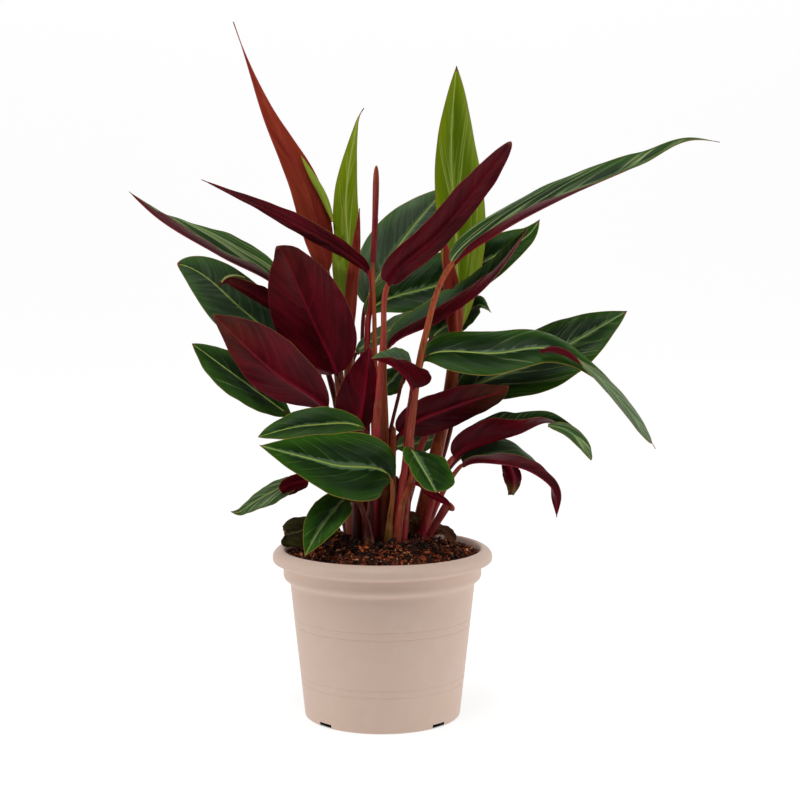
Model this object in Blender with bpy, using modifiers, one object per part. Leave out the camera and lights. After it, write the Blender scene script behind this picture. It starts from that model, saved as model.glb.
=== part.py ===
"""A potted calathea: a nursery pot filled with bark soil, the stalks that grow from one crown,
and each leaf as a piece of its own. Sizes are in millimetres and become metres in the meshes.
+X is to the right, +Y to the back, +Z up, and the origin is the centre of the pot's underside."""

import math
from collections import namedtuple

import bmesh
import bpy
import numpy as np

MM = 0.001
GAP = 0.3  # clearance between two pieces that touch

POT_HEIGHT = 147
FLOOR_TOP = 6
# The pot's section, from the middle of its floor up the inner wall, over the lip and down outside.
POT_INNER = [(0, FLOOR_TOP), (63, FLOOR_TOP), (65, 8), (76, 112), (79, 118), (82.4, 123), (84.6, 140)]
POT_LIP = [(85.4, 145.4), (87.2, POT_HEIGHT), (90, 146.6), (93, 144.6), (94.9, 141.4), (95.3, 138),
           (94.7, 134.6), (92.6, 131.6), (89, 129.2), (86, 127.2)]
POT_OUTER = [(85.6, 122.4), (84, 119.4), (81, 116), (79.6, 112.6), (67.8, 2), (67, 0.6), (66, 0), (0, 0)]
POT_STEPS = 40
FOOT_ANGLES = (45, 135, 225, 315)
CHANNEL_WIDTH = 8
CHANNEL_HEIGHT = 4
HOLE_RADIUS = 5
HOLE_DISTANCE = 46  # of a drain hole from the pot's axis

SOIL_EDGE = 141
SOIL_TOP = 151
SOIL_BUMP = 1.2
CROWN_CENTRE = (4, 0)
CROWN_RADIUS = 42
CROWN_BOTTOM = 126
CROWN_TOP = 152
STALK_FOOT = 140  # height at which a stalk starts, inside the crown

BLADE_THICKNESS = 0.8
RIB_THICKNESS = 2.4  # what the midrib adds at the blade's base
RIB_SPREAD = 2.0
BLADE_ROWS = 10
BLADE_COLUMNS = (-1, -0.55, 0, 0.55, 1)
EDGE_WAVE = 1.2
BLADE_ARCH = 0.10  # how far each half of a blade bulges, as a share of its width
TIP_HALF_WIDTH = 0.5
STALK_SPACING = 24  # between the points of a stalk
NECK = 3  # length of the last straight bit of a stalk, which squares its end
DENSE = 24  # points in each span of a smooth path

COLOURS = {
    "pot": ((0.56, 0.41, 0.36), 0.55),
    "soil": ((0.06, 0.025, 0.015), 0.95),
    "stems": ((0.36, 0.07, 0.05), 0.45),
    "green": ((0.03, 0.10, 0.03), 0.4),
    "red": ((0.13, 0.008, 0.015), 0.4),
    "young": ((0.25, 0.38, 0.03), 0.4),
    "rust": ((0.36, 0.07, 0.03), 0.45),
    "withered": ((0.06, 0.05, 0.02), 0.8),
}

# A leaf's stalk rises from its foot through the stalk points, and goes on as the midrib through the
# blade points. left and right reach from the midrib to the margins where the blade is widest, seen
# with the top side up and the tip ahead. widest is how far along the blade that is, from 0 to 1.
# sharp is low for a blunt blade and high for a drawn-out one, twist turns it from there to the tip,
# in degrees, and girth and neck are the stalk's radius at its foot and at the blade.
Leaf = namedtuple("Leaf", "name colour foot stalk blade left right widest sharp twist girth neck",
                  defaults=(1.7, 0, 3.6, 1.6))
LEAVES = [
    Leaf("leaf_tall_left", "rust", (-24, 8), [(-36, 20, 273), (-43, 28, 334)],
         [(-50, 31, 382), (-67, 30, 456), (-100, 27, 524), (-128, 24, 599)],
         (14, 4, 3), (-13, -3, -3), 0.24, 2.6, 0, 5, 4.5),
    Leaf("leaf_dart_left", "red", (-17, 5), [(-14, 12, 256), (-13, 16, 335)],
         [(-12, 17, 385), (-37, 14, 406), (-71, 10, 425), (-155, 10, 464)],
         (4, -10, 7), (-4, 9, -6), 0.28, 1.5, 0, 4.2, 2.3),
    Leaf("leaf_young_centre", "young", (-26, 12), [(-30, 30, 255), (-29, 36, 334)],
         [(-27, 34, 369), (-32, 34, 447), (-19, 28, 528)], (-12, -2, 0), (11, 6, 0), 0.34, 2.1, 0, 5, 4.5),
    Leaf("leaf_far_left", "green", (-24, 12), [(-42, 40, 271), (-63, 48, 333)],
         [(-89, 49, 370), (-144, 48, 400), (-203, 46, 436), (-223, 45, 455)],
         (0, -20, 6), (5, 14, 19), 0.36, 1.7, 25, 3.8, 2),
    Leaf("leaf_broad_left", "green", (-24, 10), [(-47, 30, 237), (-73, 36, 300)],
         [(-84, 38, 314), (-126, 36, 354), (-167, 28, 388), (-180, 26, 393)],
         (-24, -12, -12), (17, 4, 19), 0.42, 1.15, 0, 3.8, 2),
    Leaf("leaf_curl_left", "red", (-22, 16), [(-47, 34, 254), (-64, 34, 316)],
         [(-81, 33, 345), (-109, 28, 364), (-139, 20, 380)], (5, -6, 8), (-3, 5, -5), 0.45),
    Leaf("leaf_heart_red", "red", (-22, 0), [(-28, 6, 231), (-33, 8, 274)],
         [(-39, 8, 297), (-56, 6, 335), (-87, 10, 407)], (32, -11, 12), (-33, 11, -10), 0.42, 1.3),
    Leaf("leaf_low_red", "red", (-22, -4), [(-26, -6, 215), (-32, -4, 249)],
         [(-47, -4, 268), (-92, -6, 300), (-144, 8, 347)], (19, -14, 22), (-14, 12, -17), 0.45),
    Leaf("leaf_low_left", "green", (-26, 8), [(-42, 22, 202), (-62, 28, 246)],
         [(-80, 28, 258), (-125, 20, 292), (-165, 12, 323)], (-9, -16, -12), (10, 14, 12), 0.5),
    Leaf("leaf_front_upper", "green", (-14, -14), [(-9, -12, 207), (-9, -12, 237)],
         [(-14, -13, 249), (-59, -24, 256), (-105, -28, 246)], (-2, -13, -11), (2, 8, 14), 0.5),
    Leaf("leaf_front_large", "green", (5, -16), [(7, -17, 178), (9, -16, 193)],
         [(8, -18, 207), (-42, -52, 226), (-100, -72, 244)], (-4, -20, -26), (2, 10, 28), 0.34, 1.6),
    Leaf("leaf_front_hanging", "green", (-9, -22), [(-15, -26, 179), (-20, -28, 190)],
         [(-27, -30, 193), (-45, -48, 180), (-64, -62, 150)], (11, -13, -6), (-12, 2, 12), 0.4),
    Leaf("leaf_twisted_left", "green", (-20, 10), [(-37, 14, 186), (-50, 12, 204)],
         [(-65, 10, 206), (-98, 0, 194), (-127, -12, 176)], (3, -12, -8), (-2, 6, 6), 0.42, 1.4),
    Leaf("leaf_red_centre", "red", (-14, -4), [(-18, 0, 188), (-19, 0, 214)],
         [(-21, 0, 247), (-16, -2, 279), (-11, 4, 322)], (14, 6, -2), (-23, -6, 3), 0.35),
    Leaf("leaf_red_raised", "red", (-9, -8), [(-5, -12, 250), (1, -14, 328)],
         [(5, -14, 375), (49, -16, 419), (106, -22, 490)],
         (9, 9, -8), (-11, -11, 10), 0.36, 0.8, 0, 4.4, 2.3),
    Leaf("leaf_tall_right", "young", (28, 14), [(48, 34, 228), (58, 41, 272)],
         [(65, 45, 329), (65, 46, 413), (60, 40, 491), (64, 28, 562)],
         (-16, -5, 0), (27, 8, 0), 0.47, 1.7, 0, 6.5, 6),
    Leaf("leaf_long_right", "green", (14, -4), [(25, -7, 257), (36, -12, 328)],
         [(60, 2, 392), (101, 8, 421), (153, 16, 448), (223, 24, 478), (270, 28, 499), (293, 30, 497)],
         (-7, 22, 14), (7, -18, 9), 0.26, 1.9, 30, 4.5, 2.3),
    Leaf("leaf_behind_right", "green", (-2, 12), [(-8, 38, 246), (-10, 52, 307)],
         [(-14, 58, 344), (60, 70, 377), (141, 66, 423)], (-8, 10, 25), (9, -16, -20), 0.45),
    Leaf("leaf_folded_right", "green", (1, 6), [(-2, 18, 238), (-2, 22, 290)],
         [(3, 23, 318), (50, 22, 344), (85, 24, 368), (123, 30, 416)], (-8, 14, 17), (-2, -14, 10), 0.42),
    Leaf("leaf_grey_behind", "green", (-16, 14), [(-27, 34, 236), (-29, 42, 289)],
         [(-24, 44, 312), (1, 44, 330), (33, 40, 352)], (-4, 7, 7), (4, -9, -6), 0.45),
    Leaf("leaf_silver_behind", "green", (-8, 18), [(-15, 54, 244), (-19, 70, 315)],
         [(-16, 78, 355), (10, 92, 402), (58, 90, 461)], (-24, 8, 14), (28, -4, -12), 0.42),
    Leaf("leaf_drooping_right", "green", (12, -8), [(20, -9, 215), (24, -7, 272)],
         [(33, -2, 309), (101, -4, 316), (142, -8, 320), (186, -14, 297), (233, -20, 235)],
         (-4, 24, 17), (0, -20, -17), 0.22, 3.2, 15, 4.6, 1.8),
    Leaf("leaf_wide_right", "green", (20, 12), [(22, 26, 190), (44, 34, 250)],
         [(64, 38, 272), (144, 44, 309), (216, 44, 350)],
         (-10, 20, 23), (12, -24, -22), 0.47, 1.7, 0, 4.4, 2.3),
    Leaf("leaf_red_right", "red", (3, 6), [(6, 12, 204), (8, 14, 231)],
         [(15, 14, 244), (59, 14, 267), (103, 8, 281)], (3, 9, -18), (-5, -8, 17), 0.38, 1.2),
    Leaf("leaf_bent_right", "green", (31, 10), [(47, 12, 195), (55, 12, 214)],
         [(62, 12, 224), (90, 8, 238), (117, 4, 246), (145, 0, 256), (167, -2, 246), (180, -4, 223)],
         (2, 12, 19), (-4, -5, 20), 0.25, 2.4, 110, 4, 2),
    Leaf("leaf_arched_right", "green", (31, 6), [(50, 15, 187), (60, 15, 205)],
         [(70, 14, 217), (101, 7, 220), (131, 1, 212), (148, -1, 197), (151, -1, 173)],
         (1, 19, 21), (1, -19, 7), 0.25, 1.5, -60),
    Leaf("leaf_small_hanging", "red", (28, 12), [(50, 27, 200), (72, 29, 224), (93, 29, 227)],
         [(106, 27, 219), (114, 23, 205), (112, 17, 189)], (-8, -4, -1), (8, 4, 1), 0.4),
    Leaf("leaf_small_front", "green", (11, -17), [(17, -16, 185), (26, -13, 220)],
         [(24, -20, 234), (34, -46, 222), (45, -72, 205)], (32, -8, -14), (-17, 1, 9), 0.55, 1.1),
    Leaf("leaf_small_upper", "green", (9, -13), [(19, -14, 216), (24, -17, 259)],
         [(27, -20, 287), (13, -34, 305), (-9, -46, 314)], (18, -18, 5), (0, 16, 18), 0.35),
    Leaf("leaf_dark_point", "red", (16, -10), [(20, -11, 178), (23, -13, 197)],
         [(29, -16, 205), (42, -24, 197), (57, -30, 189)], (0, 5, -5), (1, -5, 6), 0.4),
    Leaf("spear_pink", "rust", (33, -8), [(36, -8, 152)],
         [(40, -8, 158), (48, -8, 172), (57, -8, 187)], (3, 1, -2), (-3, -1, 2), 0.35),
    Leaf("spear_rolled", "rust", (-6, 4), [(-6, 12, 248), (-7, 14, 343)],
         [(-8, 12, 393), (-6, 12, 434), (-5, 10, 476)], (2, 2, 0), (-2, -2, 0), 0.35),
    Leaf("leaf_behind_tall", "green", (12, 18), [(26, 38, 235), (33, 54, 297)],
         [(42, 62, 323), (67, 66, 343), (91, 62, 358)], (-5, 12, 13), (6, -12, -9), 0.45),
    Leaf("leaf_hidden_middle", "green", (-2, 20), [(-4, 40, 209), (-6, 50, 253)],
         [(-5, 54, 274), (8, 58, 288), (22, 60, 304)], (-7, 8, 7), (8, -10, -8), 0.45),
    Leaf("leaf_hidden_low", "green", (4, 16), [(6, 36, 192), (7, 48, 216)],
         [(10, 52, 226), (30, 57, 231), (52, 58, 236)], (-2, 11, 10), (2, -11, -8), 0.45),
    Leaf("leaf_back_left", "green", (-14, 18), [(-34, 46, 230), (-42, 56, 275)],
         [(-50, 66, 295), (-90, 130, 325), (-122, 190, 325)], (-24, -18, 4), (24, 18, 4), 0.42),
    Leaf("leaf_back_right", "green", (18, 18), [(44, 38, 195), (62, 56, 250)],
         [(68, 74, 283), (110, 132, 303), (152, 190, 298)], (-24, 18, 6), (24, -18, 2), 0.42),
    Leaf("leaf_back_low", "green", (-6, 22), [(-14, 44, 180), (-16, 52, 205)],
         [(-22, 62, 220), (-50, 112, 238), (-78, 160, 226)], (-22, -12, 4), (22, 12, 4), 0.42),
    Leaf("leaf_back_centre", "green", (10, 24), [(24, 46, 185), (34, 66, 214)],
         [(42, 80, 234), (66, 118, 252), (90, 164, 250)], (-22, 12, 4), (22, -12, 4), 0.42),
    Leaf("leaf_withered", "withered", (-26, 4), [(-32, 6, 154)],
         [(-36, 6, 158), (-60, 2, 162), (-88, -8, 157)], (2, -9, -12), (-2, 10, 10), 0.6, 1.2),
    Leaf("sheath_dried", "withered", (26, 18), [(31, 28, 150)],
         [(35, 31, 153), (50, 34, 156), (64, 29, 146)], (1, -6, -4), (-1, 6, 6), 0.5, 1.1),
]


def smooth_path(points):
    """A cubic through the points, DENSE steps to each span, with slopes from the spans on both sides."""
    points = np.array(points, float)
    spans = np.diff(points, axis=0)
    lengths = np.linalg.norm(spans, axis=1)[:, None]
    slopes = spans / lengths
    inner = (slopes[:-1] * lengths[1:] + slopes[1:] * lengths[:-1]) / (lengths[:-1] + lengths[1:])
    ends = [1.5 * slopes[0] - 0.5 * inner[0], 1.5 * slopes[-1] - 0.5 * inner[-1]]
    tangents = np.vstack([ends[:1], inner, ends[1:]])
    u = (np.arange(DENSE) / DENSE)[None, :, None]
    start, stop = points[:-1, None], points[1:, None]
    rise, fall = tangents[:-1, None] * lengths[:, None], tangents[1:, None] * lengths[:, None]
    curve = (start * (2 * u**3 - 3 * u**2 + 1) + rise * (u**3 - 2 * u**2 + u)
             + stop * (3 * u**2 - 2 * u**3) + fall * (u**3 - u**2))
    return np.vstack([curve.reshape(-1, 3), points[-1:]])


def along(curve, shares):
    """Points at these shares of the curve's length."""
    steps = np.linalg.norm(np.diff(curve, axis=0), axis=1)
    travelled = np.concatenate([[0], np.cumsum(steps)]) / steps.sum()
    return np.stack([np.interp(shares, travelled, curve[:, axis]) for axis in range(3)], axis=1)


def length_of(curve):
    return np.linalg.norm(np.diff(curve, axis=0), axis=1).sum()


def unit(vectors):
    return vectors / np.linalg.norm(vectors, axis=-1, keepdims=True)


def stalk_and_midrib(leaf):
    """The leaf's one smooth line, cut in two at the base of the blade."""
    foot = (*leaf.foot, STALK_FOOT)
    line = smooth_path([foot, *leaf.stalk, *leaf.blade])
    base = DENSE * (1 + len(leaf.stalk))
    return line[: base + 1], line[base:]


def blade_width(leaf, t):
    """Rounded at the base, 1 where the blade is widest, drawn out to a point at the tip."""
    base = (t / leaf.widest) ** (leaf.sharp * leaf.widest)
    tip = ((1 - t) / (1 - leaf.widest)) ** (leaf.sharp * (1 - leaf.widest))
    return base * tip


def half_blade(leaf, side, tangent, t):
    """One half's direction from the midrib, square to it and turned by the twist, and its width."""
    reach = np.array(side, float)
    across = reach - tangent * (tangent @ reach)[:, None]
    at_widest = np.linalg.norm(across[np.argmin(abs(t - leaf.widest))])
    turn = math.radians(leaf.twist) * np.clip((t - leaf.widest) / (1 - leaf.widest), 0, 1)[:, None]
    across = across * np.cos(turn) + np.cross(tangent, across) * np.sin(turn)
    floor = leaf.neck * (1 - t) ** 3 + TIP_HALF_WIDTH * t
    return unit(across), np.maximum(at_widest * blade_width(leaf, t), floor)


def blade_points(leaf, order):
    """The blade's top surface, as rows along the midrib by columns across it."""
    _, line = stalk_and_midrib(leaf)
    row = np.linspace(0, 1, BLADE_ROWS)
    t = row - 0.06 * np.sin(2 * math.pi * row)
    midrib = along(line, t)
    midrib[0] = along(line, [2 * GAP / length_of(line)])[0]
    tangent = unit(along(line, np.minimum(1, t + 0.01)) - along(line, np.maximum(0, t - 0.01)))
    halves = {-1: half_blade(leaf, leaf.right, tangent, t), 1: half_blade(leaf, leaf.left, tangent, t)}
    normal = unit(np.cross(tangent, halves[1][0] - halves[-1][0]))
    points = np.empty((BLADE_ROWS, len(BLADE_COLUMNS), 3))
    distance = np.zeros(points.shape[:2])
    for column, share in enumerate(BLADE_COLUMNS):
        direction, width = halves[-1 if share < 0 else 1]
        out = abs(share)
        wave = EDGE_WAVE * out**2 * np.sin(9 * t + 2 * order + share) * np.minimum(1, width / 12)
        lift = 4 * BLADE_ARCH * out * (1 - out) * width + wave
        points[:, column] = midrib + direction * (out * width)[:, None] + normal * lift[:, None]
        distance[:, column] = out * width
    rib = RIB_THICKNESS * (1 - t[:, None]) ** 1.5 * np.exp(-((distance / RIB_SPREAD) ** 2))
    return points, BLADE_THICKNESS + rib


def material(name):
    found = bpy.data.materials.get(name)
    if found:
        return found
    made = bpy.data.materials.new(name)
    made.use_nodes = True
    colour, roughness = COLOURS[name]
    shader = made.node_tree.nodes["Principled BSDF"]
    shader.inputs["Base Color"].default_value = (*colour, 1)
    shader.inputs["Roughness"].default_value = roughness
    made.diffuse_color = (*colour, 1)
    return made


def collection(name):
    made = bpy.data.collections.new(name)
    bpy.context.scene.collection.children.link(made)
    return made


def place(name, mesh, where, colour=None):
    obj = bpy.data.objects.new(name, mesh)
    where.objects.link(obj)
    if colour:
        mesh.materials.clear()
        mesh.materials.append(material(colour))
    return obj


def as_mesh(obj, name):
    """The object as the viewport evaluates it, as a mesh with its doubles merged."""
    graph = bpy.context.evaluated_depsgraph_get()
    mesh = bpy.data.meshes.new_from_object(obj.evaluated_get(graph))
    mesh.name = name
    bm = bmesh.new()
    bm.from_mesh(mesh)
    bmesh.ops.remove_doubles(bm, verts=bm.verts, dist=1e-6)
    bm.to_mesh(mesh)
    bm.free()
    return mesh


def hide(obj):
    obj.hide_render = True
    obj.display_type = "WIRE"
    return obj


def cut(obj, cutter):
    boolean = obj.modifiers.new("cut_" + cutter.name, "BOOLEAN")
    boolean.operation = "DIFFERENCE"
    boolean.object = hide(cutter)


def turned(name, profile, where, colour):
    """A section in millimetres turned about the Z axis."""
    mesh = bpy.data.meshes.new(name)
    points = [(radius * MM, 0, height * MM) for radius, height in profile]
    mesh.from_pydata(points, [(i, i + 1) for i in range(len(points) - 1)], [])
    obj = place(name, mesh, where, colour)
    screw = obj.modifiers.new("turn", "SCREW")
    screw.steps = screw.render_steps = POT_STEPS
    screw.use_merge_vertices = True
    screw.merge_threshold = 1e-5
    screw.use_smooth_shade = True
    return obj


def cylinder(name, radius, bottom, top, centre, where, colour=None, sides=24):
    mesh = bpy.data.meshes.new(name)
    bm = bmesh.new()
    bmesh.ops.create_cone(bm, cap_ends=True, segments=sides, radius1=radius * MM, radius2=radius * MM,
                          depth=(top - bottom) * MM)
    bm.to_mesh(mesh)
    bm.free()
    obj = place(name, mesh, where, colour)
    obj.location = (centre[0] * MM, centre[1] * MM, (bottom + top) / 2 * MM)
    return obj


def channel(name, angle, where):
    """A bar along the underside, from the drain hole out through the foot of the wall."""
    outer = POT_OUTER[-2][0] + 6
    mesh = bpy.data.meshes.new(name)
    bm = bmesh.new()
    bmesh.ops.create_cube(bm, size=1)
    size = (outer - HOLE_DISTANCE, CHANNEL_WIDTH, 2 * CHANNEL_HEIGHT)
    bmesh.ops.scale(bm, vec=[side * MM for side in size], verts=bm.verts)
    bmesh.ops.translate(bm, vec=((outer + HOLE_DISTANCE) / 2 * MM, 0, 0), verts=bm.verts)
    bm.to_mesh(mesh)
    bm.free()
    obj = place(name, mesh, where)
    obj.rotation_euler.z = angle
    return obj


def make_pot(parts, cutters):
    pot = turned("pot", POT_INNER + POT_LIP + POT_OUTER, parts, "pot")
    for number, degrees in enumerate(FOOT_ANGLES, 1):
        angle = math.radians(degrees)
        cut(pot, channel(f"channel_{number}", angle, cutters))
        centre = (HOLE_DISTANCE * math.cos(angle), HOLE_DISTANCE * math.sin(angle))
        cut(pot, cylinder(f"drain_{number}", HOLE_RADIUS, -1, FLOOR_TOP + 1, centre, cutters, sides=12))


def soil_height(radius):
    """A mound: highest at the middle, level with SOIL_EDGE at the pot's wall."""
    slope = min(1, max(0, (radius - 25) / 60))
    return SOIL_TOP - (SOIL_TOP - SOIL_EDGE) * (3 * slope**2 - 2 * slope**3)


def make_soil(parts, cutters):
    wall = [(radius - GAP, height) for radius, height in reversed(POT_INNER[2:-1])]
    edge = POT_INNER[-1][0] - GAP
    top = [(radius, soil_height(radius)) for radius in (0, 20, 34, 45, 55, 65, 75)]
    floor = FLOOR_TOP + GAP
    profile = top + [(edge, SOIL_EDGE), *wall, (62, floor), (0, floor)]
    plain = turned("soil_plain", profile, cutters, "soil")
    mesh = as_mesh(plain, "soil")
    bpy.data.objects.remove(plain)
    points = np.empty(len(mesh.vertices) * 3)
    mesh.vertices.foreach_get("co", points)
    points = points.reshape(-1, 3)
    x, y = points[:, 0] / MM, points[:, 1] / MM
    radius = np.hypot(x, y)
    surface = (points[:, 2] / MM > SOIL_EDGE + 0.2) & (radius > 40)
    bump = np.sin(0.19 * x + 1) * np.cos(0.23 * y) + 0.6 * np.sin(0.41 * x - 0.33 * y)
    points[surface, 2] += SOIL_BUMP * bump[surface] * MM
    mesh.vertices.foreach_set("co", points.ravel())
    soil = place("soil", mesh, parts, "soil")
    hole = cylinder("crown_hole", CROWN_RADIUS + GAP, CROWN_BOTTOM - GAP, CROWN_TOP + 20, CROWN_CENTRE, cutters)
    cut(soil, hole)


def stalk_tube(leaf, where):
    """A tube that narrows from the crown to the blade's neck, as a mesh."""
    line, _ = stalk_and_midrib(leaf)
    length = length_of(line)
    count = max(4, round(length / STALK_SPACING))
    shares = np.append(np.linspace(0, 1 - NECK / length, count - 1), 1 - GAP / length)
    points = along(line, shares)
    radii = leaf.girth + (leaf.neck - leaf.girth) * shares**1.3
    curve = bpy.data.curves.new(leaf.name, "CURVE")
    curve.dimensions = "3D"
    curve.bevel_depth = MM
    curve.bevel_resolution = 1
    curve.use_fill_caps = True
    spline = curve.splines.new("POLY")
    spline.points.add(count - 1)
    spline.points.foreach_set("co", np.column_stack([points * MM, np.ones(count)]).ravel())
    spline.points.foreach_set("radius", radii)
    tube = place("stalk_curve", curve, where)
    mesh = as_mesh(tube, "stalk")
    bpy.data.objects.remove(tube)
    return place("stalk", mesh, where)


def make_stems(parts, cutters):
    """The crown and every stalk that grows from it, joined in one body."""
    stems = cylinder("stems", CROWN_RADIUS, CROWN_BOTTOM, CROWN_TOP, CROWN_CENTRE, parts, "stems")
    stalks = collection("stalks")
    for leaf in LEAVES:
        stalk_tube(leaf, stalks)
    union = stems.modifiers.new("join", "BOOLEAN")
    union.operation = "UNION"
    union.operand_type = "COLLECTION"
    union.collection = stalks
    union.solver = "MANIFOLD"
    bpy.context.view_layer.update()
    graph = bpy.context.evaluated_depsgraph_get()
    joined = bpy.data.meshes.new_from_object(stems.evaluated_get(graph))
    stems.modifiers.clear()
    stems.data = joined
    joined.materials.clear()
    joined.materials.append(material("stems"))
    for stalk in list(stalks.objects):
        bpy.data.objects.remove(stalk)
    bpy.data.collections.remove(stalks)


def make_leaf(leaf, order, parts):
    points, thickness = blade_points(leaf, order)
    rows, columns = points.shape[:2]
    mesh = bpy.data.meshes.new(leaf.name)
    index = np.arange(rows * columns).reshape(rows, columns)
    a, b, c, d = index[:-1, :-1], index[1:, :-1], index[1:, 1:], index[:-1, 1:]
    right = np.arange(columns - 1) < (columns - 1) / 2
    first = np.where(right[:, None], np.stack([a, b, c], -1), np.stack([a, b, d], -1))
    second = np.where(right[:, None], np.stack([a, c, d], -1), np.stack([b, c, d], -1))
    faces = np.concatenate([first.reshape(-1, 3), second.reshape(-1, 3)])
    mesh.from_pydata((points * MM).reshape(-1, 3).tolist(), [], faces.tolist())
    obj = place(leaf.name, mesh, parts, leaf.colour)
    most = thickness.max()
    group = obj.vertex_groups.new(name="thickness")
    for vertex, share in enumerate((thickness / most).ravel().tolist()):
        group.add([vertex], share, "REPLACE")
    solid = obj.modifiers.new("thickness", "SOLIDIFY")
    solid.thickness = most * MM
    solid.offset = -1
    solid.vertex_group = group.name
    mesh.shade_smooth()
    return obj


def main():
    for obj in list(bpy.data.objects):
        bpy.data.objects.remove(obj)
    parts = collection("potted_calathea")
    cutters = collection("cutters")
    make_pot(parts, cutters)
    make_soil(parts, cutters)
    make_stems(parts, cutters)
    for order, leaf in enumerate(LEAVES):
        make_leaf(leaf, order, parts)


main()
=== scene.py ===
# %% [markdown]
# # A potted calathea
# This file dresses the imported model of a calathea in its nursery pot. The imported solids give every
# place and size. The lesson makes fine surfaces in their place, works out each shape as a formula on
# a grid of numbers, and paints it with shader maths, so nothing comes from a picture.

# %% Load the frame
import math
from collections import namedtuple

import bpy
import numpy as np
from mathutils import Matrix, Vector


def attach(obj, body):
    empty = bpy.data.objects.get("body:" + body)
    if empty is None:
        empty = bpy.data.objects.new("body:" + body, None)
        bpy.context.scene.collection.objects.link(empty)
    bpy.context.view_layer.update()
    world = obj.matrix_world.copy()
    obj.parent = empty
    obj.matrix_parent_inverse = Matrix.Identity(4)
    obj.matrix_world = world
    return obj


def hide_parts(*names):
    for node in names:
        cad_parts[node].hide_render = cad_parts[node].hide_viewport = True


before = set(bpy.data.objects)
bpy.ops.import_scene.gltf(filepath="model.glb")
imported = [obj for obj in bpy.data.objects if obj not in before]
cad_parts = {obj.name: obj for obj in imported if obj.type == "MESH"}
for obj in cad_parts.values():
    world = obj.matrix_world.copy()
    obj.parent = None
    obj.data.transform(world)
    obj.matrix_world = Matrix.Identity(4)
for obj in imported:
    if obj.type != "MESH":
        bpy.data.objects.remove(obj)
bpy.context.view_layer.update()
MM = 0.001

# %% [markdown]
# ## The camera
# The photographer stood 1.4 m from the pot with a long lens, 0.4 m above the table, and tilted the
# camera down by 5 degrees. The rim of the pot, a circle of known size, shows as an ellipse, and its
# width, its flatness and the pot's height give the three numbers. The plain pinhole camera below has
# them, with no shift and no blur.

# %% Camera
CAMERA_AT = (0.0152, -1.404, 0.4017)
CAMERA_TILT = math.radians(5.157)
LENS_MM = 73.58

camera_data = bpy.data.cameras.new("photo_camera")
camera_data.lens = LENS_MM
camera_data.sensor_width = 36
camera = bpy.data.objects.new("photo_camera", camera_data)
camera.location = CAMERA_AT
camera.rotation_euler = (math.pi / 2 - CAMERA_TILT, 0, 0)
bpy.context.scene.collection.objects.link(camera)
bpy.context.scene.camera = camera
print("camera stands", round(abs(CAMERA_AT[1]), 2), "m in front of the pot")

# %% [markdown]
# ## Light
# The plant stands in a white light tent. Light comes softly from everywhere, least from the dark
# side where the photographer stands, so the pot is darkest in its middle. The world's brightness
# therefore rises from front to back. Two large soft boxes at the sides, aimed at the leaves, add
# shape and sheen, and a third lights the top.

# %% Light
FRONT_STRENGTH, BACK_STRENGTH = 0.11, 0.48
AIM = Vector((0.03, 0, 0.25))
SOFT_BOXES = [
    ("left_box", (-1.7, -0.3, 0.7), 1.0, 6.8),
    ("right_box", (1.8, -0.2, 0.7), 1.0, 10),
    ("top_box", (-0.2, -0.8, 1.8), 0.7, 14),
]

scene = bpy.context.scene
scene.view_settings.view_transform = "Standard"
world = bpy.data.worlds.new("tent")
world.use_nodes = True
tent = world.node_tree
look_way = tent.nodes.new("ShaderNodeTexCoord")
split = tent.nodes.new("ShaderNodeSeparateXYZ")
rise = tent.nodes.new("ShaderNodeMapRange")
for socket, value in (("From Min", -0.8), ("From Max", 0.2), ("To Min", FRONT_STRENGTH), ("To Max", BACK_STRENGTH)):
    rise.inputs[socket].default_value = value
tent.links.new(look_way.outputs["Generated"], split.inputs["Vector"])
tent.links.new(split.outputs["Y"], rise.inputs["Value"])
tent.links.new(rise.outputs["Result"], tent.nodes["Background"].inputs["Strength"])
tent.nodes["Background"].inputs["Color"].default_value = (1, 1, 1, 1)
scene.world = world
for name, place, size, power in SOFT_BOXES:
    light = bpy.data.lights.new(name, "AREA")
    light.shape = "SQUARE"
    light.size = size
    light.energy = power
    lamp = bpy.data.objects.new(name, light)
    lamp.location = place
    lamp.rotation_euler = (AIM - lamp.location).to_track_quat("-Z", "Y").to_euler()
    scene.collection.objects.link(lamp)
print("soft boxes:", len(SOFT_BOXES))

# %% [markdown]
# ## Sheets of numbers into meshes
# Each piece below is a grid of points worked out by a formula. One helper hands a whole array of
# points and faces to Blender at once, smooths the shading, and keeps named values on the points.
# The materials read those values, so that a vein follows its leaf wherever the leaf bends.

# %% Mesh helpers
def to_mesh(name, points, faces, values=None, sharp=40):
    """A mesh from an array of points in millimetres and one of faces, with named values on its points."""
    mesh = bpy.data.meshes.new(name)
    mesh.from_pydata((points.reshape(-1, 3) * MM).tolist(), [], faces.tolist())
    mesh.shade_smooth()
    mesh.set_sharp_from_angle(angle=math.radians(sharp))
    for key, numbers in (values or {}).items():
        numbers = np.asarray(numbers, np.float32)
        if numbers.size == len(mesh.vertices):
            mesh.attributes.new(key, "FLOAT", "POINT").data.foreach_set("value", numbers.ravel())
        else:
            mesh.attributes.new(key, "FLOAT_COLOR", "POINT").data.foreach_set("color", numbers.ravel())
    return mesh


def quads(index):
    """The faces between neighbouring rows and columns of a grid of point numbers."""
    a, b, c, d = index[:-1, :-1], index[1:, :-1], index[1:, 1:], index[:-1, 1:]
    return np.stack([a, b, c, d], -1).reshape(-1, 4)


def wrap(index):
    """The same grid with its first column again at the end, so that a tube closes."""
    return np.concatenate([index, index[:, :1]], axis=1)


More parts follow.
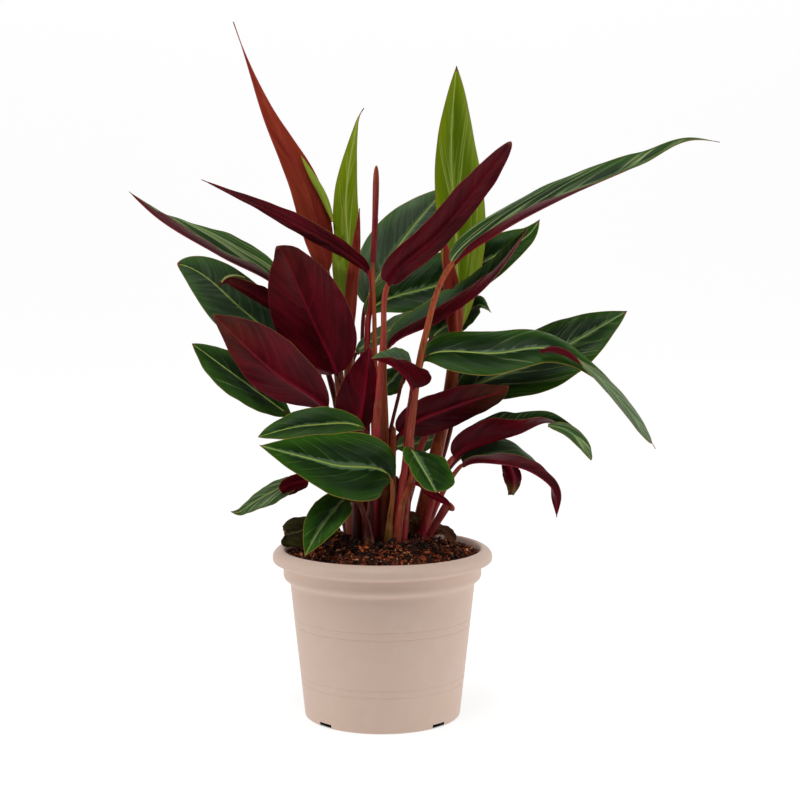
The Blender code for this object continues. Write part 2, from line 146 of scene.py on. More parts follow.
def show(name, mesh, finish, slot, *replaced):
    """Puts a mesh in the scene as a piece that rides on the plant's one body."""
    piece = bpy.data.objects.new(name, mesh)
    scene.collection.objects.link(piece)
    mesh.materials.clear()
    mesh.materials.append(finish)
    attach(piece, "root")
    if replaced:
        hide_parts(*replaced)
    return piece


def unit(vectors):
    return vectors / np.linalg.norm(vectors, axis=-1, keepdims=True)


print("mesh helpers ready")

# %% [markdown]
# A plant has no straight lines. A few points give a stalk its way, and a smooth cubic joins them. It
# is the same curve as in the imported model: between two points it leaves and arrives with the slopes
# that the spans on both sides suggest.

# %% Smooth lines
DENSE = 24


def smooth_path(points):
    """A cubic through the points, DENSE steps to each span, with slopes from the spans on both sides."""
    points = np.array(points, float)
    spans = np.diff(points, axis=0)
    lengths = np.linalg.norm(spans, axis=1)[:, None]
    slopes = spans / lengths
    inner = (slopes[:-1] * lengths[1:] + slopes[1:] * lengths[:-1]) / (lengths[:-1] + lengths[1:])
    ends = [1.5 * slopes[0] - 0.5 * inner[0], 1.5 * slopes[-1] - 0.5 * inner[-1]]
    tangents = np.vstack([ends[:1], inner, ends[1:]])
    u = (np.arange(DENSE) / DENSE)[None, :, None]
    start, stop = points[:-1, None], points[1:, None]
    rise, fall = tangents[:-1, None] * lengths[:, None], tangents[1:, None] * lengths[:, None]
    curve = (start * (2 * u**3 - 3 * u**2 + 1) + rise * (u**3 - 2 * u**2 + u)
             + stop * (3 * u**2 - 2 * u**3) + fall * (u**3 - u**2))
    return np.vstack([curve.reshape(-1, points.shape[1]), points[-1:]])


def travelled(curve):
    """How far along the curve each of its points is."""
    return np.concatenate([[0], np.cumsum(np.linalg.norm(np.diff(curve, axis=0), axis=1))])


def along(curve, shares):
    """Points at these shares of the curve's length."""
    distance = travelled(curve)
    return np.stack([np.interp(shares, distance / distance[-1], axis) for axis in curve.T], axis=1)


def ease(low, high, x):
    """0 below low, 1 above high, and a smooth rise between them."""
    share = np.clip((x - low) / (high - low), 0, 1)
    return share * share * (3 - 2 * share)


print("a bend through 3 points has", len(smooth_path([(0, 0), (1, 2), (3, 3)])), "steps")

# %% [markdown]
# ## Shader maths as plain sums
# A material here is a sum of masks: where is the midrib, where is a pale streak, how near is the
# margin. In Blender each sum is a Math node. The two small classes below let the lesson write the sum
# itself. A Reading wraps one socket, and its plus, minus and times add the nodes. A Finish holds one
# material, and its node method makes any other kind of node.

# %% Readings and finishes
class Reading:
    """One value that changes over a surface. Sums with it add Math nodes to its finish."""

    def __init__(self, finish, socket):
        self.finish = finish
        self.socket = socket

    def math(self, operation, *values):
        return self.finish.node("Math", {"operation": operation}, values)

    def __add__(self, other):
        return self.math("ADD", self, other)

    def __sub__(self, other):
        return self.math("SUBTRACT", self, other)

    def __mul__(self, other):
        return self.math("MULTIPLY", self, other)

    def __truediv__(self, other):
        return self.math("DIVIDE", self, other)

    def __pow__(self, other):
        return self.math("POWER", self, other)

    def __rsub__(self, other):
        return self.math("SUBTRACT", other, self)

    def __rtruediv__(self, other):
        return self.math("DIVIDE", other, self)

    def __abs__(self):
        return self.math("ABSOLUTE", self)

    __radd__ = __add__
    __rmul__ = __mul__

    def step(self, low, high):
        """0 at low, 1 at high, smooth between them. low may be the higher number."""
        settings = {"interpolation_type": "SMOOTHSTEP"}
        return self.finish.node("MapRange", settings, {"Value": self, "From Min": low, "From Max": high})

    def comb(self, period, sharpness=1):
        """Thin crests, one for each period of the value."""
        wave = self.math("COSINE", self * (2 * math.pi / period)) * 0.5 + 0.5
        return wave ** sharpness


class Finish:
    """One material, built node by node."""

    def __init__(self, name, roughness, **constants):
        self.material = bpy.data.materials.new(name)
        self.material.use_nodes = True
        self.tree = self.material.node_tree
        self.shader = self.tree.nodes["Principled BSDF"]
        self.shader.inputs["Roughness"].default_value = roughness
        for socket, value in constants.items():
            self.shader.inputs[socket.replace("_", " ")].default_value = value

    def feed(self, socket, value):
        if isinstance(value, Reading):
            self.tree.links.new(value.socket, socket)
        else:
            socket.default_value = value

    def node(self, kind, settings, values, output=0):
        """A node of this kind: its settings first, then the values or readings of its sockets."""
        made = self.tree.nodes.new("ShaderNode" + kind)
        for setting, value in settings.items():
            setattr(made, setting, value)
        pairs = values.items() if isinstance(values, dict) else enumerate(values)
        for socket, value in pairs:
            self.feed(made.inputs[socket], value)
        return Reading(self, made.outputs[output])

    def value(self, name):
        """A named value that the mesh keeps on its points."""
        return self.node("Attribute", {"attribute_name": name}, {}, "Fac")

    def colour(self, name):
        return self.node("Attribute", {"attribute_name": name}, {}, "Color")

    def place(self):
        return self.node("TexCoord", {}, {}, "Object")

    def point(self, x, y, z):
        return self.node("CombineXYZ", {}, (x, y, z))

    def noise(self, vector, scale, detail=3, roughness=0.5):
        """Soft random values round 0.5."""
        values = {"Vector": vector, "Scale": scale, "Detail": detail, "Roughness": roughness}
        return self.node("TexNoise", {}, values, "Fac")

    def mix(self, factor, first, second):
        """The first colour where the factor is 0, the second where it is 1."""
        return self.node("Mix", {"data_type": "RGBA"}, {0: factor, 6: first, 7: second}, 2)

    def wear(self, colour, roughness=None, bump=None, height=0.0001):
        """Connects the readings that change over the surface to the shader."""
        self.feed(self.shader.inputs["Base Color"], colour)
        if roughness:
            self.feed(self.shader.inputs["Roughness"], roughness)
        if bump:
            normal = self.node("Bump", {}, {"Strength": 1.0, "Distance": height, "Height": bump}, "Normal")
            self.feed(self.shader.inputs["Normal"], normal)
        return self.material


def tone(red, green, blue):
    """A colour given on the usual 0 to 255 scale, as the linear light that shaders use."""
    shares = [channel / 255 for channel in (red, green, blue)]
    return (*[share / 12.92 if share <= 0.04045 else ((share + 0.055) / 1.055) ** 2.4 for share in shares], 1)


print("mid grey is", round(tone(128, 128, 128)[0], 3), "in linear light")

# %% [markdown]
# ## The backdrop
# The floor is a strip carried along a path: flat, then a quarter circle, then a wall, so no horizon
# shows. It stands for white plastic sheet lit from behind, so it glows a little by itself, and the
# plant's shadow on it is faint. Its glow fades towards the front of the picture, and a painted shadow
# darkens it under the pot and faintly in a ring round the foot, so the notches show dark. It is not
# attached to the plant's body, so it is no part of the plant.

# %% Backdrop
PAPER_NEAR, PAPER_FAR, PAPER_BEND, PAPER_TOP, PAPER_HALF = -3.0, 2.2, 1.2, 4.0, 5.0
PAPER_GLOW = 0.86


def backdrop():
    """Rows along a floor, a quarter circle and a wall, carried straight across from left to right."""
    bend = np.linspace(0, math.pi / 2, 25)
    y = np.concatenate([[PAPER_NEAR], PAPER_FAR + PAPER_BEND * np.sin(bend), [PAPER_FAR + PAPER_BEND]])
    z = np.concatenate([[0], PAPER_BEND * (1 - np.cos(bend)), [PAPER_TOP]])
    x = np.array([PAPER_HALF, -PAPER_HALF])
    points = np.stack(np.broadcast_arrays(x[None, :], y[:, None], z[:, None]), -1)
    index = np.arange(points.size // 3).reshape(points.shape[:2])
    return to_mesh("backdrop", points / MM, quads(index), sharp=180)


paper = Finish("paper", 0.9, Specular_IOR_Level=0, Emission_Color=(1, 1, 1, 1), Emission_Strength=PAPER_GLOW)
where = paper.place()
depth = paper.node("SeparateXYZ", {}, (where,), "Y")
from_axis = paper.node("VectorMath", {"operation": "LENGTH"}, (where,), "Value")
# the glow fades to a quarter towards the front
glow_and_painted_shadow = depth.step(-0.75, -0.27) * 0.75 + 0.25
# painted shadow: the glow is cut to nothing under the pot's foot and dimmed by 7 percent in a ring round it
glow_and_painted_shadow = glow_and_painted_shadow * from_axis.step(0.063, 0.0672) * (0.93 + 0.07 * from_axis.step(0.066, 0.16))
paper.feed(paper.shader.inputs["Emission Color"], paper.mix(glow_and_painted_shadow, (0, 0, 0, 1), (1, 1, 1, 1)))
sheet = paper.mix(paper.noise(where, 1.5, 2), tone(136, 136, 136), tone(142, 142, 142))
# painted contact shadow: under the pot the sheet's own colour is near black, and it shows through the notches in the
# foot
paper_material = paper.wear(paper.mix(from_axis.step(0.062, 0.067), tone(20, 16, 14), sheet))
floor = bpy.data.objects.new("backdrop", backdrop())
floor.data.materials.append(paper_material)
scene.collection.objects.link(floor)
print("backdrop faces:", len(floor.data.polygons))

# %% [markdown]
# ## The pot
# The pot is moulded plastic, a turned shape: a thick rolled rim, a step and a fillet below it, and a
# wall that narrows to the foot. Two pairs of shallow lines run round the wall. The section below goes
# from the middle of the floor up the inside, over the rim and down the outside. It is cut into short
# steps, so that the lines and the roundings are real shape, and then carried round the axis.

# %% The pot's section
POT_INNER = [(0, 6), (63, 6), (65, 8), (76, 112), (79, 118), (82.4, 123), (84.6, 140)]
POT_LIP = [(84.6, 140), (84.9, 144.6), (85.7, 146.4), (87, 147), (89.4, 146.6), (91.8, 145.4), (93.6, 143.8),
           (94.8, 142), (95.2, 140), (95.2, 138), (94.8, 136.6), (93.6, 135.8), (90.4, 135), (87.2, 134.2),
           (86.1, 132.6)]
POT_SKIRT = [(86.1, 132.6), (85.9, 128), (85.8, 123.8), (85.2, 121.8), (83.6, 120.3), (81.5, 119), (80.4, 117.6),
             (80.05, 116), (79.5, 111)]
POT_FOOT = [(79.5, 111), (67.9, 2), (67.5, 0.8), (66.4, 0.1), (65.6, 0), (0, 0)]
LINES_AT = (88.4, 81.6, 37.5, 31.5)
LINE_DEPTH, LINE_WIDTH = 0.4, 0.55
POT_SIDES = 176


def evenly(points, step):
    """A polyline cut into steps of about this length, with its corners kept."""
    pieces = [np.linspace(a, b, max(2, round(math.dist(a, b) / step) + 1))[:-1] for a, b in zip(points, points[1:])]
    return np.vstack([*pieces, points[-1:]])


def pot_section():
    """Straight runs for the walls and a smooth line over the lip, with shallow lines cut in the wall:
    the radius loses LINE_DEPTH times a bell curve round each height in LINES_AT."""
    lip = along(smooth_path(POT_LIP), np.linspace(0, 1, 60))
    skirt = along(smooth_path(POT_SKIRT), np.linspace(0, 1, 30))
    foot = evenly(np.array(POT_FOOT, float), 0.5)
    radius, height = foot[:, 0], foot[:, 1]
    wall = radius > 60
    for line in LINES_AT:
        radius = radius - wall * LINE_DEPTH * np.exp(-(((height - line) / LINE_WIDTH) ** 2))
    keep = wall | (radius < 0.01)
    outside = np.column_stack([radius, height])[keep]
    inside = evenly(np.array(POT_INNER, float), 6)
    return np.vstack([inside, lip[1:], skirt[1:], outside[1:]])


def turned(section, sides):
    """A section carried round the Z axis, closed at both ends on the axis."""
    angle = np.linspace(0, 2 * math.pi, sides, endpoint=False)
    radius, height = section[1:-1, 0], section[1:-1, 1]
    ring = np.stack([radius[:, None] * np.cos(angle), radius[:, None] * np.sin(angle),
                     np.repeat(height[:, None], sides, axis=1)], -1)
    poles = np.array([[0, 0, section[0, 1]], [0, 0, section[-1, 1]]])
    index = np.arange(ring.size // 3).reshape(ring.shape[:2])
    first, last = ring.size // 3, ring.size // 3 + 1
    round_once = wrap(index)
    fans = [(first, b, a) for a, b in zip(round_once[0, 1:], round_once[0, :-1])]
    fans += [(last, b, a) for a, b in zip(round_once[-1, :-1], round_once[-1, 1:])]
    return np.vstack([ring.reshape(-1, 3), poles]), quads(round_once[::-1]), fans


section = pot_section()
print("the pot's section has", len(section), "points and is", section[:, 1].max(), "mm high")

# %% [markdown]
# Water leaves through four holes in the floor, along four small notches in the foot. They are boxes
# and cylinders taken away from the turned shape, and the result replaces it, so no cutter stays.

# %% Notches and drain holes
FOOT_ANGLES = [math.radians(angle) for angle in (45, 135, 225, 315)]
HOLE_DISTANCE, HOLE_RADIUS = 46, 5
NOTCH_WIDTH, NOTCH_HEIGHT, NOTCH_END = 14, 4, 73


def cutters():
    """A cylinder through the floor and a bar along the underside for each of the four notches."""
    made = []
    for angle in FOOT_ANGLES:
        middle = (HOLE_DISTANCE + NOTCH_END) / 2
        bpy.ops.mesh.primitive_cube_add(size=1, location=(middle * math.cos(angle) * MM,
                                                          middle * math.sin(angle) * MM, 0))
        bar = bpy.context.object
        bar.scale = ((NOTCH_END - HOLE_DISTANCE) * MM, NOTCH_WIDTH * MM, 2 * NOTCH_HEIGHT * MM)
        bar.rotation_euler.z = angle
        bpy.ops.mesh.primitive_cylinder_add(vertices=32, radius=HOLE_RADIUS * MM, depth=16 * MM,
                                            location=(HOLE_DISTANCE * math.cos(angle) * MM,
                                                      HOLE_DISTANCE * math.sin(angle) * MM, 3 * MM))
        made += [bar, bpy.context.object]
    return made


def pot_mesh():
    points, rings, fans = turned(section, POT_SIDES)
    mesh = bpy.data.meshes.new("pot_shell")
    mesh.from_pydata((points * MM).tolist(), [], rings.tolist() + fans)
    shell = bpy.data.objects.new("pot_shell", mesh)
    scene.collection.objects.link(shell)
    for cutter in cutters():
        boolean = shell.modifiers.new(cutter.name, "BOOLEAN")
        boolean.operation = "DIFFERENCE"
        boolean.object = cutter
    bpy.context.view_layer.update()
    cut = bpy.data.meshes.new_from_object(shell.evaluated_get(bpy.context.evaluated_depsgraph_get()))
    for modifier in shell.modifiers:
        bpy.data.objects.remove(modifier.object)
    bpy.data.objects.remove(shell)
    cut.shade_smooth()
    cut.set_sharp_from_angle(angle=math.radians(40))
    return cut


# %% [markdown]
# The plastic is a matt, warm taupe pink. It isn't one flat colour: it is a touch paler where hands
# and shelves have rubbed it, with a few dark specks in it and a very fine grain, which breaks the
# light on the rim.

# %% Pot finish
plastic = Finish("taupe_plastic", 0.5, Specular_IOR_Level=0.4)
where = plastic.place()
cloud = plastic.noise(where, 14, 4)
specks = plastic.noise(where, 420, 2, 0.8).step(0.73, 0.78)
rubbed = plastic.noise(where, 60, 5, 0.7).step(0.45, 0.75)
taupe = plastic.mix(cloud, tone(207, 179, 162), tone(212, 186, 169))
taupe = plastic.mix(rubbed * 0.35, taupe, tone(216, 194, 180))
taupe = plastic.mix(specks * 0.45, taupe, tone(150, 118, 102))
grain = plastic.noise(where, 1800, 2)
plastic_material = plastic.wear(taupe, 0.44 + rubbed * 0.12 + grain * 0.1, grain, 0.00004)
pot = show("pot_turned", pot_mesh(), plastic_material, "pot", "pot")
print("pot faces:", len(pot.data.polygons))

# %% [markdown]
# ## The soil
# The pot is filled to a little below its rim with dark compost, heaped round the stalks. Its surface
# is a disc whose height is a mound plus sums of sines with unlike periods, which never repeat across
# the pot. The disc is closed below by the shape of the pot's inner wall.

# %% Soil surface
SOIL_EDGE, SOIL_TOP, SOIL_RADIUS = 141, 152.4, 84.2
SOIL_RINGS, SOIL_SIDES = 64, 220
draw = np.random.default_rng(41)
RIPPLES = [(draw.uniform(0.12, 1.1), draw.uniform(0, math.pi), draw.uniform(0, 6.3)) for _ in range(26)]


def soil_height(x, y):
    """A mound that falls by an S curve from SOIL_TOP to SOIL_EDGE, plus 26 sines of unlike period and
    direction, each as high as 0.45 mm over its frequency's root, that fade at the wall."""
    radius = np.hypot(x, y)
    rough = sum(np.sin(rate * (x * np.cos(turn) + y * np.sin(turn)) + phase) / rate**0.5
                for rate, turn, phase in RIPPLES)
    return SOIL_TOP - (SOIL_TOP - SOIL_EDGE) * ease(24, 84, radius) + 0.45 * rough * (1 - 0.7 * ease(70, 84, radius))


def soil_solid():
    angle = np.linspace(0, 2 * math.pi, SOIL_SIDES, endpoint=False)
    radius = SOIL_RADIUS * np.linspace(0.02, 1, SOIL_RINGS) ** 0.8
    x, y = radius[:, None] * np.cos(angle), radius[:, None] * np.sin(angle)
    top = np.stack([x, y, soil_height(x, y)], -1)
    wall = [(82.1, 123), (78.7, 118), (75.7, 112), (64.7, 8), (62, 6.4)]
    below = np.array([np.stack([r * np.cos(angle), r * np.sin(angle), np.full_like(angle, z)], -1) for r, z in wall])
    rings = np.concatenate([top, below])
    index = wrap(np.arange(rings.size // 3).reshape(rings.shape[:2]))
    poles = np.array([[0, 0, soil_height(0.0, 0.0)], [0, 0, 6.4]])
    first, last = rings.size // 3, rings.size // 3 + 1
    fans = [(first, a, b) for a, b in zip(index[0, :-1], index[0, 1:])]
    fans += [(last, b, a) for a, b in zip(index[-1, :-1], index[-1, 1:])]
    mesh = bpy.data.meshes.new("soil_bed")
    points = np.vstack([rings.reshape(-1, 3), poles])
    mesh.from_pydata((points * MM).tolist(), [], quads(index).tolist() + fans)
    mesh.shade_smooth()
    return mesh


# %% [markdown]
# The compost is nearly black where it is damp, and red brown where bark dust lies on it.

# %% Soil finish
compost = Finish("compost", 0.95, Specular_IOR_Level=0.2)
where = compost.place()
clods = compost.noise(where, 170, 6, 0.7)
dust = compost.noise(where, 420, 3, 0.6).step(0.52, 0.7)
earth = compost.mix(clods.step(0.35, 0.7), tone(24, 12, 8), tone(74, 42, 28))
earth = compost.mix(dust * 0.6, earth, tone(122, 66, 40))
compost_material = compost.wear(earth, None, clods, 0.003)
soil = show("soil_bed", soil_solid(), compost_material, "soil", "soil")
print("soil faces:", len(soil.data.polygons))

# %% [markdown]
# Bark chips and crumbs cover it: thousands of small flakes, most of them lying nearly flat. Each is
# a block of eight corners, stretched, pulled out of square and turned by its own random numbers. The
# numbers come from one seeded draw, so they are the same each time.

# %% Chips
CHIP_TONES = np.array([tone(24, 11, 8), tone(50, 23, 13), tone(104, 46, 24), tone(154, 70, 34),
                       tone(208, 104, 50), tone(240, 168, 110)])
BLOCK = np.array([(x, y, z) for x in (-0.5, 0.5) for y in (-0.5, 0.5) for z in (-0.5, 0.5)])
BLOCK_FACES = np.array([(0, 1, 3, 2), (4, 6, 7, 5), (0, 4, 5, 1), (2, 3, 7, 6), (0, 2, 6, 4), (1, 5, 7, 3)])


def turns(heading, pitch, roll):
    """One rotation matrix for each chip: roll about X, then pitch about Y, then heading about Z."""
    ch, sh, cp, sp, cr, sr = (f(a) for a in (heading, pitch, roll) for f in (np.cos, np.sin))
    rows = [[ch * cp, ch * sp * sr - sh * cr, ch * sp * cr + sh * sr],
            [sh * cp, sh * sp * sr + ch * cr, sh * sp * cr - ch * sr],
            [-sp, cp * sr, cp * cr]]
    return np.moveaxis(np.array(rows), 2, 0)


def scatter(count, length, width, height, steep, weights, low=0, high=82.5):
    """Chips of random size between the given limits, strewn over a ring of the soil. steep is the most
    that one leans, and weights says how often each of the chip tones comes up."""
    far = np.sqrt(draw.uniform(low**2, high**2, count))
    angle = draw.uniform(0, 2 * math.pi, count)
    x, y = far * np.cos(angle), far * np.sin(angle)
    size = np.stack([draw.uniform(*limits, count) for limits in (length, width, height)], -1)
    corners = BLOCK[None] * size[:, None] * draw.uniform(0.55, 1.15, (count, 8, 3))
    spin = turns(draw.uniform(0, 6.3, count), draw.normal(0, steep, count), draw.normal(0, steep, count))
    corners = np.einsum("nij,nkj->nki", spin, corners)
    middle = np.stack([x, y, soil_height(x, y) + draw.uniform(-0.3, 0.7, count) * size[:, 2]], -1)
    tint = CHIP_TONES[draw.choice(len(CHIP_TONES), count, p=np.array(weights) / sum(weights))]
    shade = np.repeat(tint[:, None] * draw.uniform(0.7, 1.25, (count, 1, 1)), 8, axis=1)
    return corners + middle[:, None], shade


LITTER = [
    scatter(5200, (0.9, 2.4), (0.7, 1.6), (0.5, 1.2), 0.5, (5, 6, 6, 5, 4, 1)),
    scatter(2300, (2.4, 5.2), (1.2, 2.4), (0.6, 1.2), 0.4, (4, 5, 6, 6, 4, 1)),
    scatter(620, (4.5, 8), (1.8, 3.6), (0.8, 1.6), 0.35, (4, 6, 5, 4, 2, 0.3), low=30, high=78),
    scatter(300, (6, 12), (0.6, 1.1), (0.5, 0.8), 0.35, (3, 4, 5, 5, 4, 1), low=30, high=76),
    scatter(420, (2.4, 4.6), (1, 2), (0.6, 1.2), 0.6, (0, 0, 1, 3, 5, 3), low=36),
    scatter(150, (4, 9), (3, 6), (2, 4.5), 0.5, (8, 5, 1, 0.2, 0, 0), low=14, high=50),
    scatter(1600, (2, 5), (1, 2), (0.6, 1.4), 0.6, (7, 6, 3, 1, 0.4, 0.1), high=48),
    scatter(70, (5, 9), (2.5, 4.5), (2, 4), 0.6, (5, 5, 3, 0.5, 0, 0), low=16, high=46),
]


def litter_mesh():
    points = np.concatenate([corners for corners, _ in LITTER])
    shade = np.concatenate([shades for _, shades in LITTER])
    count = len(points)
    faces = BLOCK_FACES[None] + 8 * np.arange(count)[:, None, None]
    far = np.hypot(points[..., 0], points[..., 1])
    points[..., :2] *= np.minimum(1, 83.6 / far)[..., None]
    return to_mesh("bark_chips", points, faces.reshape(-1, 4), {"tint": shade}, sharp=30)


bark = Finish("bark", 0.85, Specular_IOR_Level=0.25)
where = bark.place()
fibre = bark.noise(bark.node("VectorMath", {"operation": "MULTIPLY"}, (where, (1, 1, 4))), 700, 4, 0.7)
bark_tint = bark.mix(fibre.step(0.3, 0.75) * 0.5, bark.colour("tint"), tone(34, 18, 12))
bark_material = bark.wear(bark_tint, None, fibre, 0.0004)
chips = show("bark_chips", litter_mesh(), bark_material, "soil")
print("chips:", len(chips.data.vertices) // 8)

# %% [markdown]
# ## The leaves as a list
# Each leaf has a stalk that rises from the crown, bends a few times and runs on as the midrib of the
# blade. The list gives those points in millimetres, the reach of the left and right half where the
# blade is widest, how far along that is, how pointed the blade is, how much it twists, and the
# stalk's radius at its foot and at the blade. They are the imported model's own values.

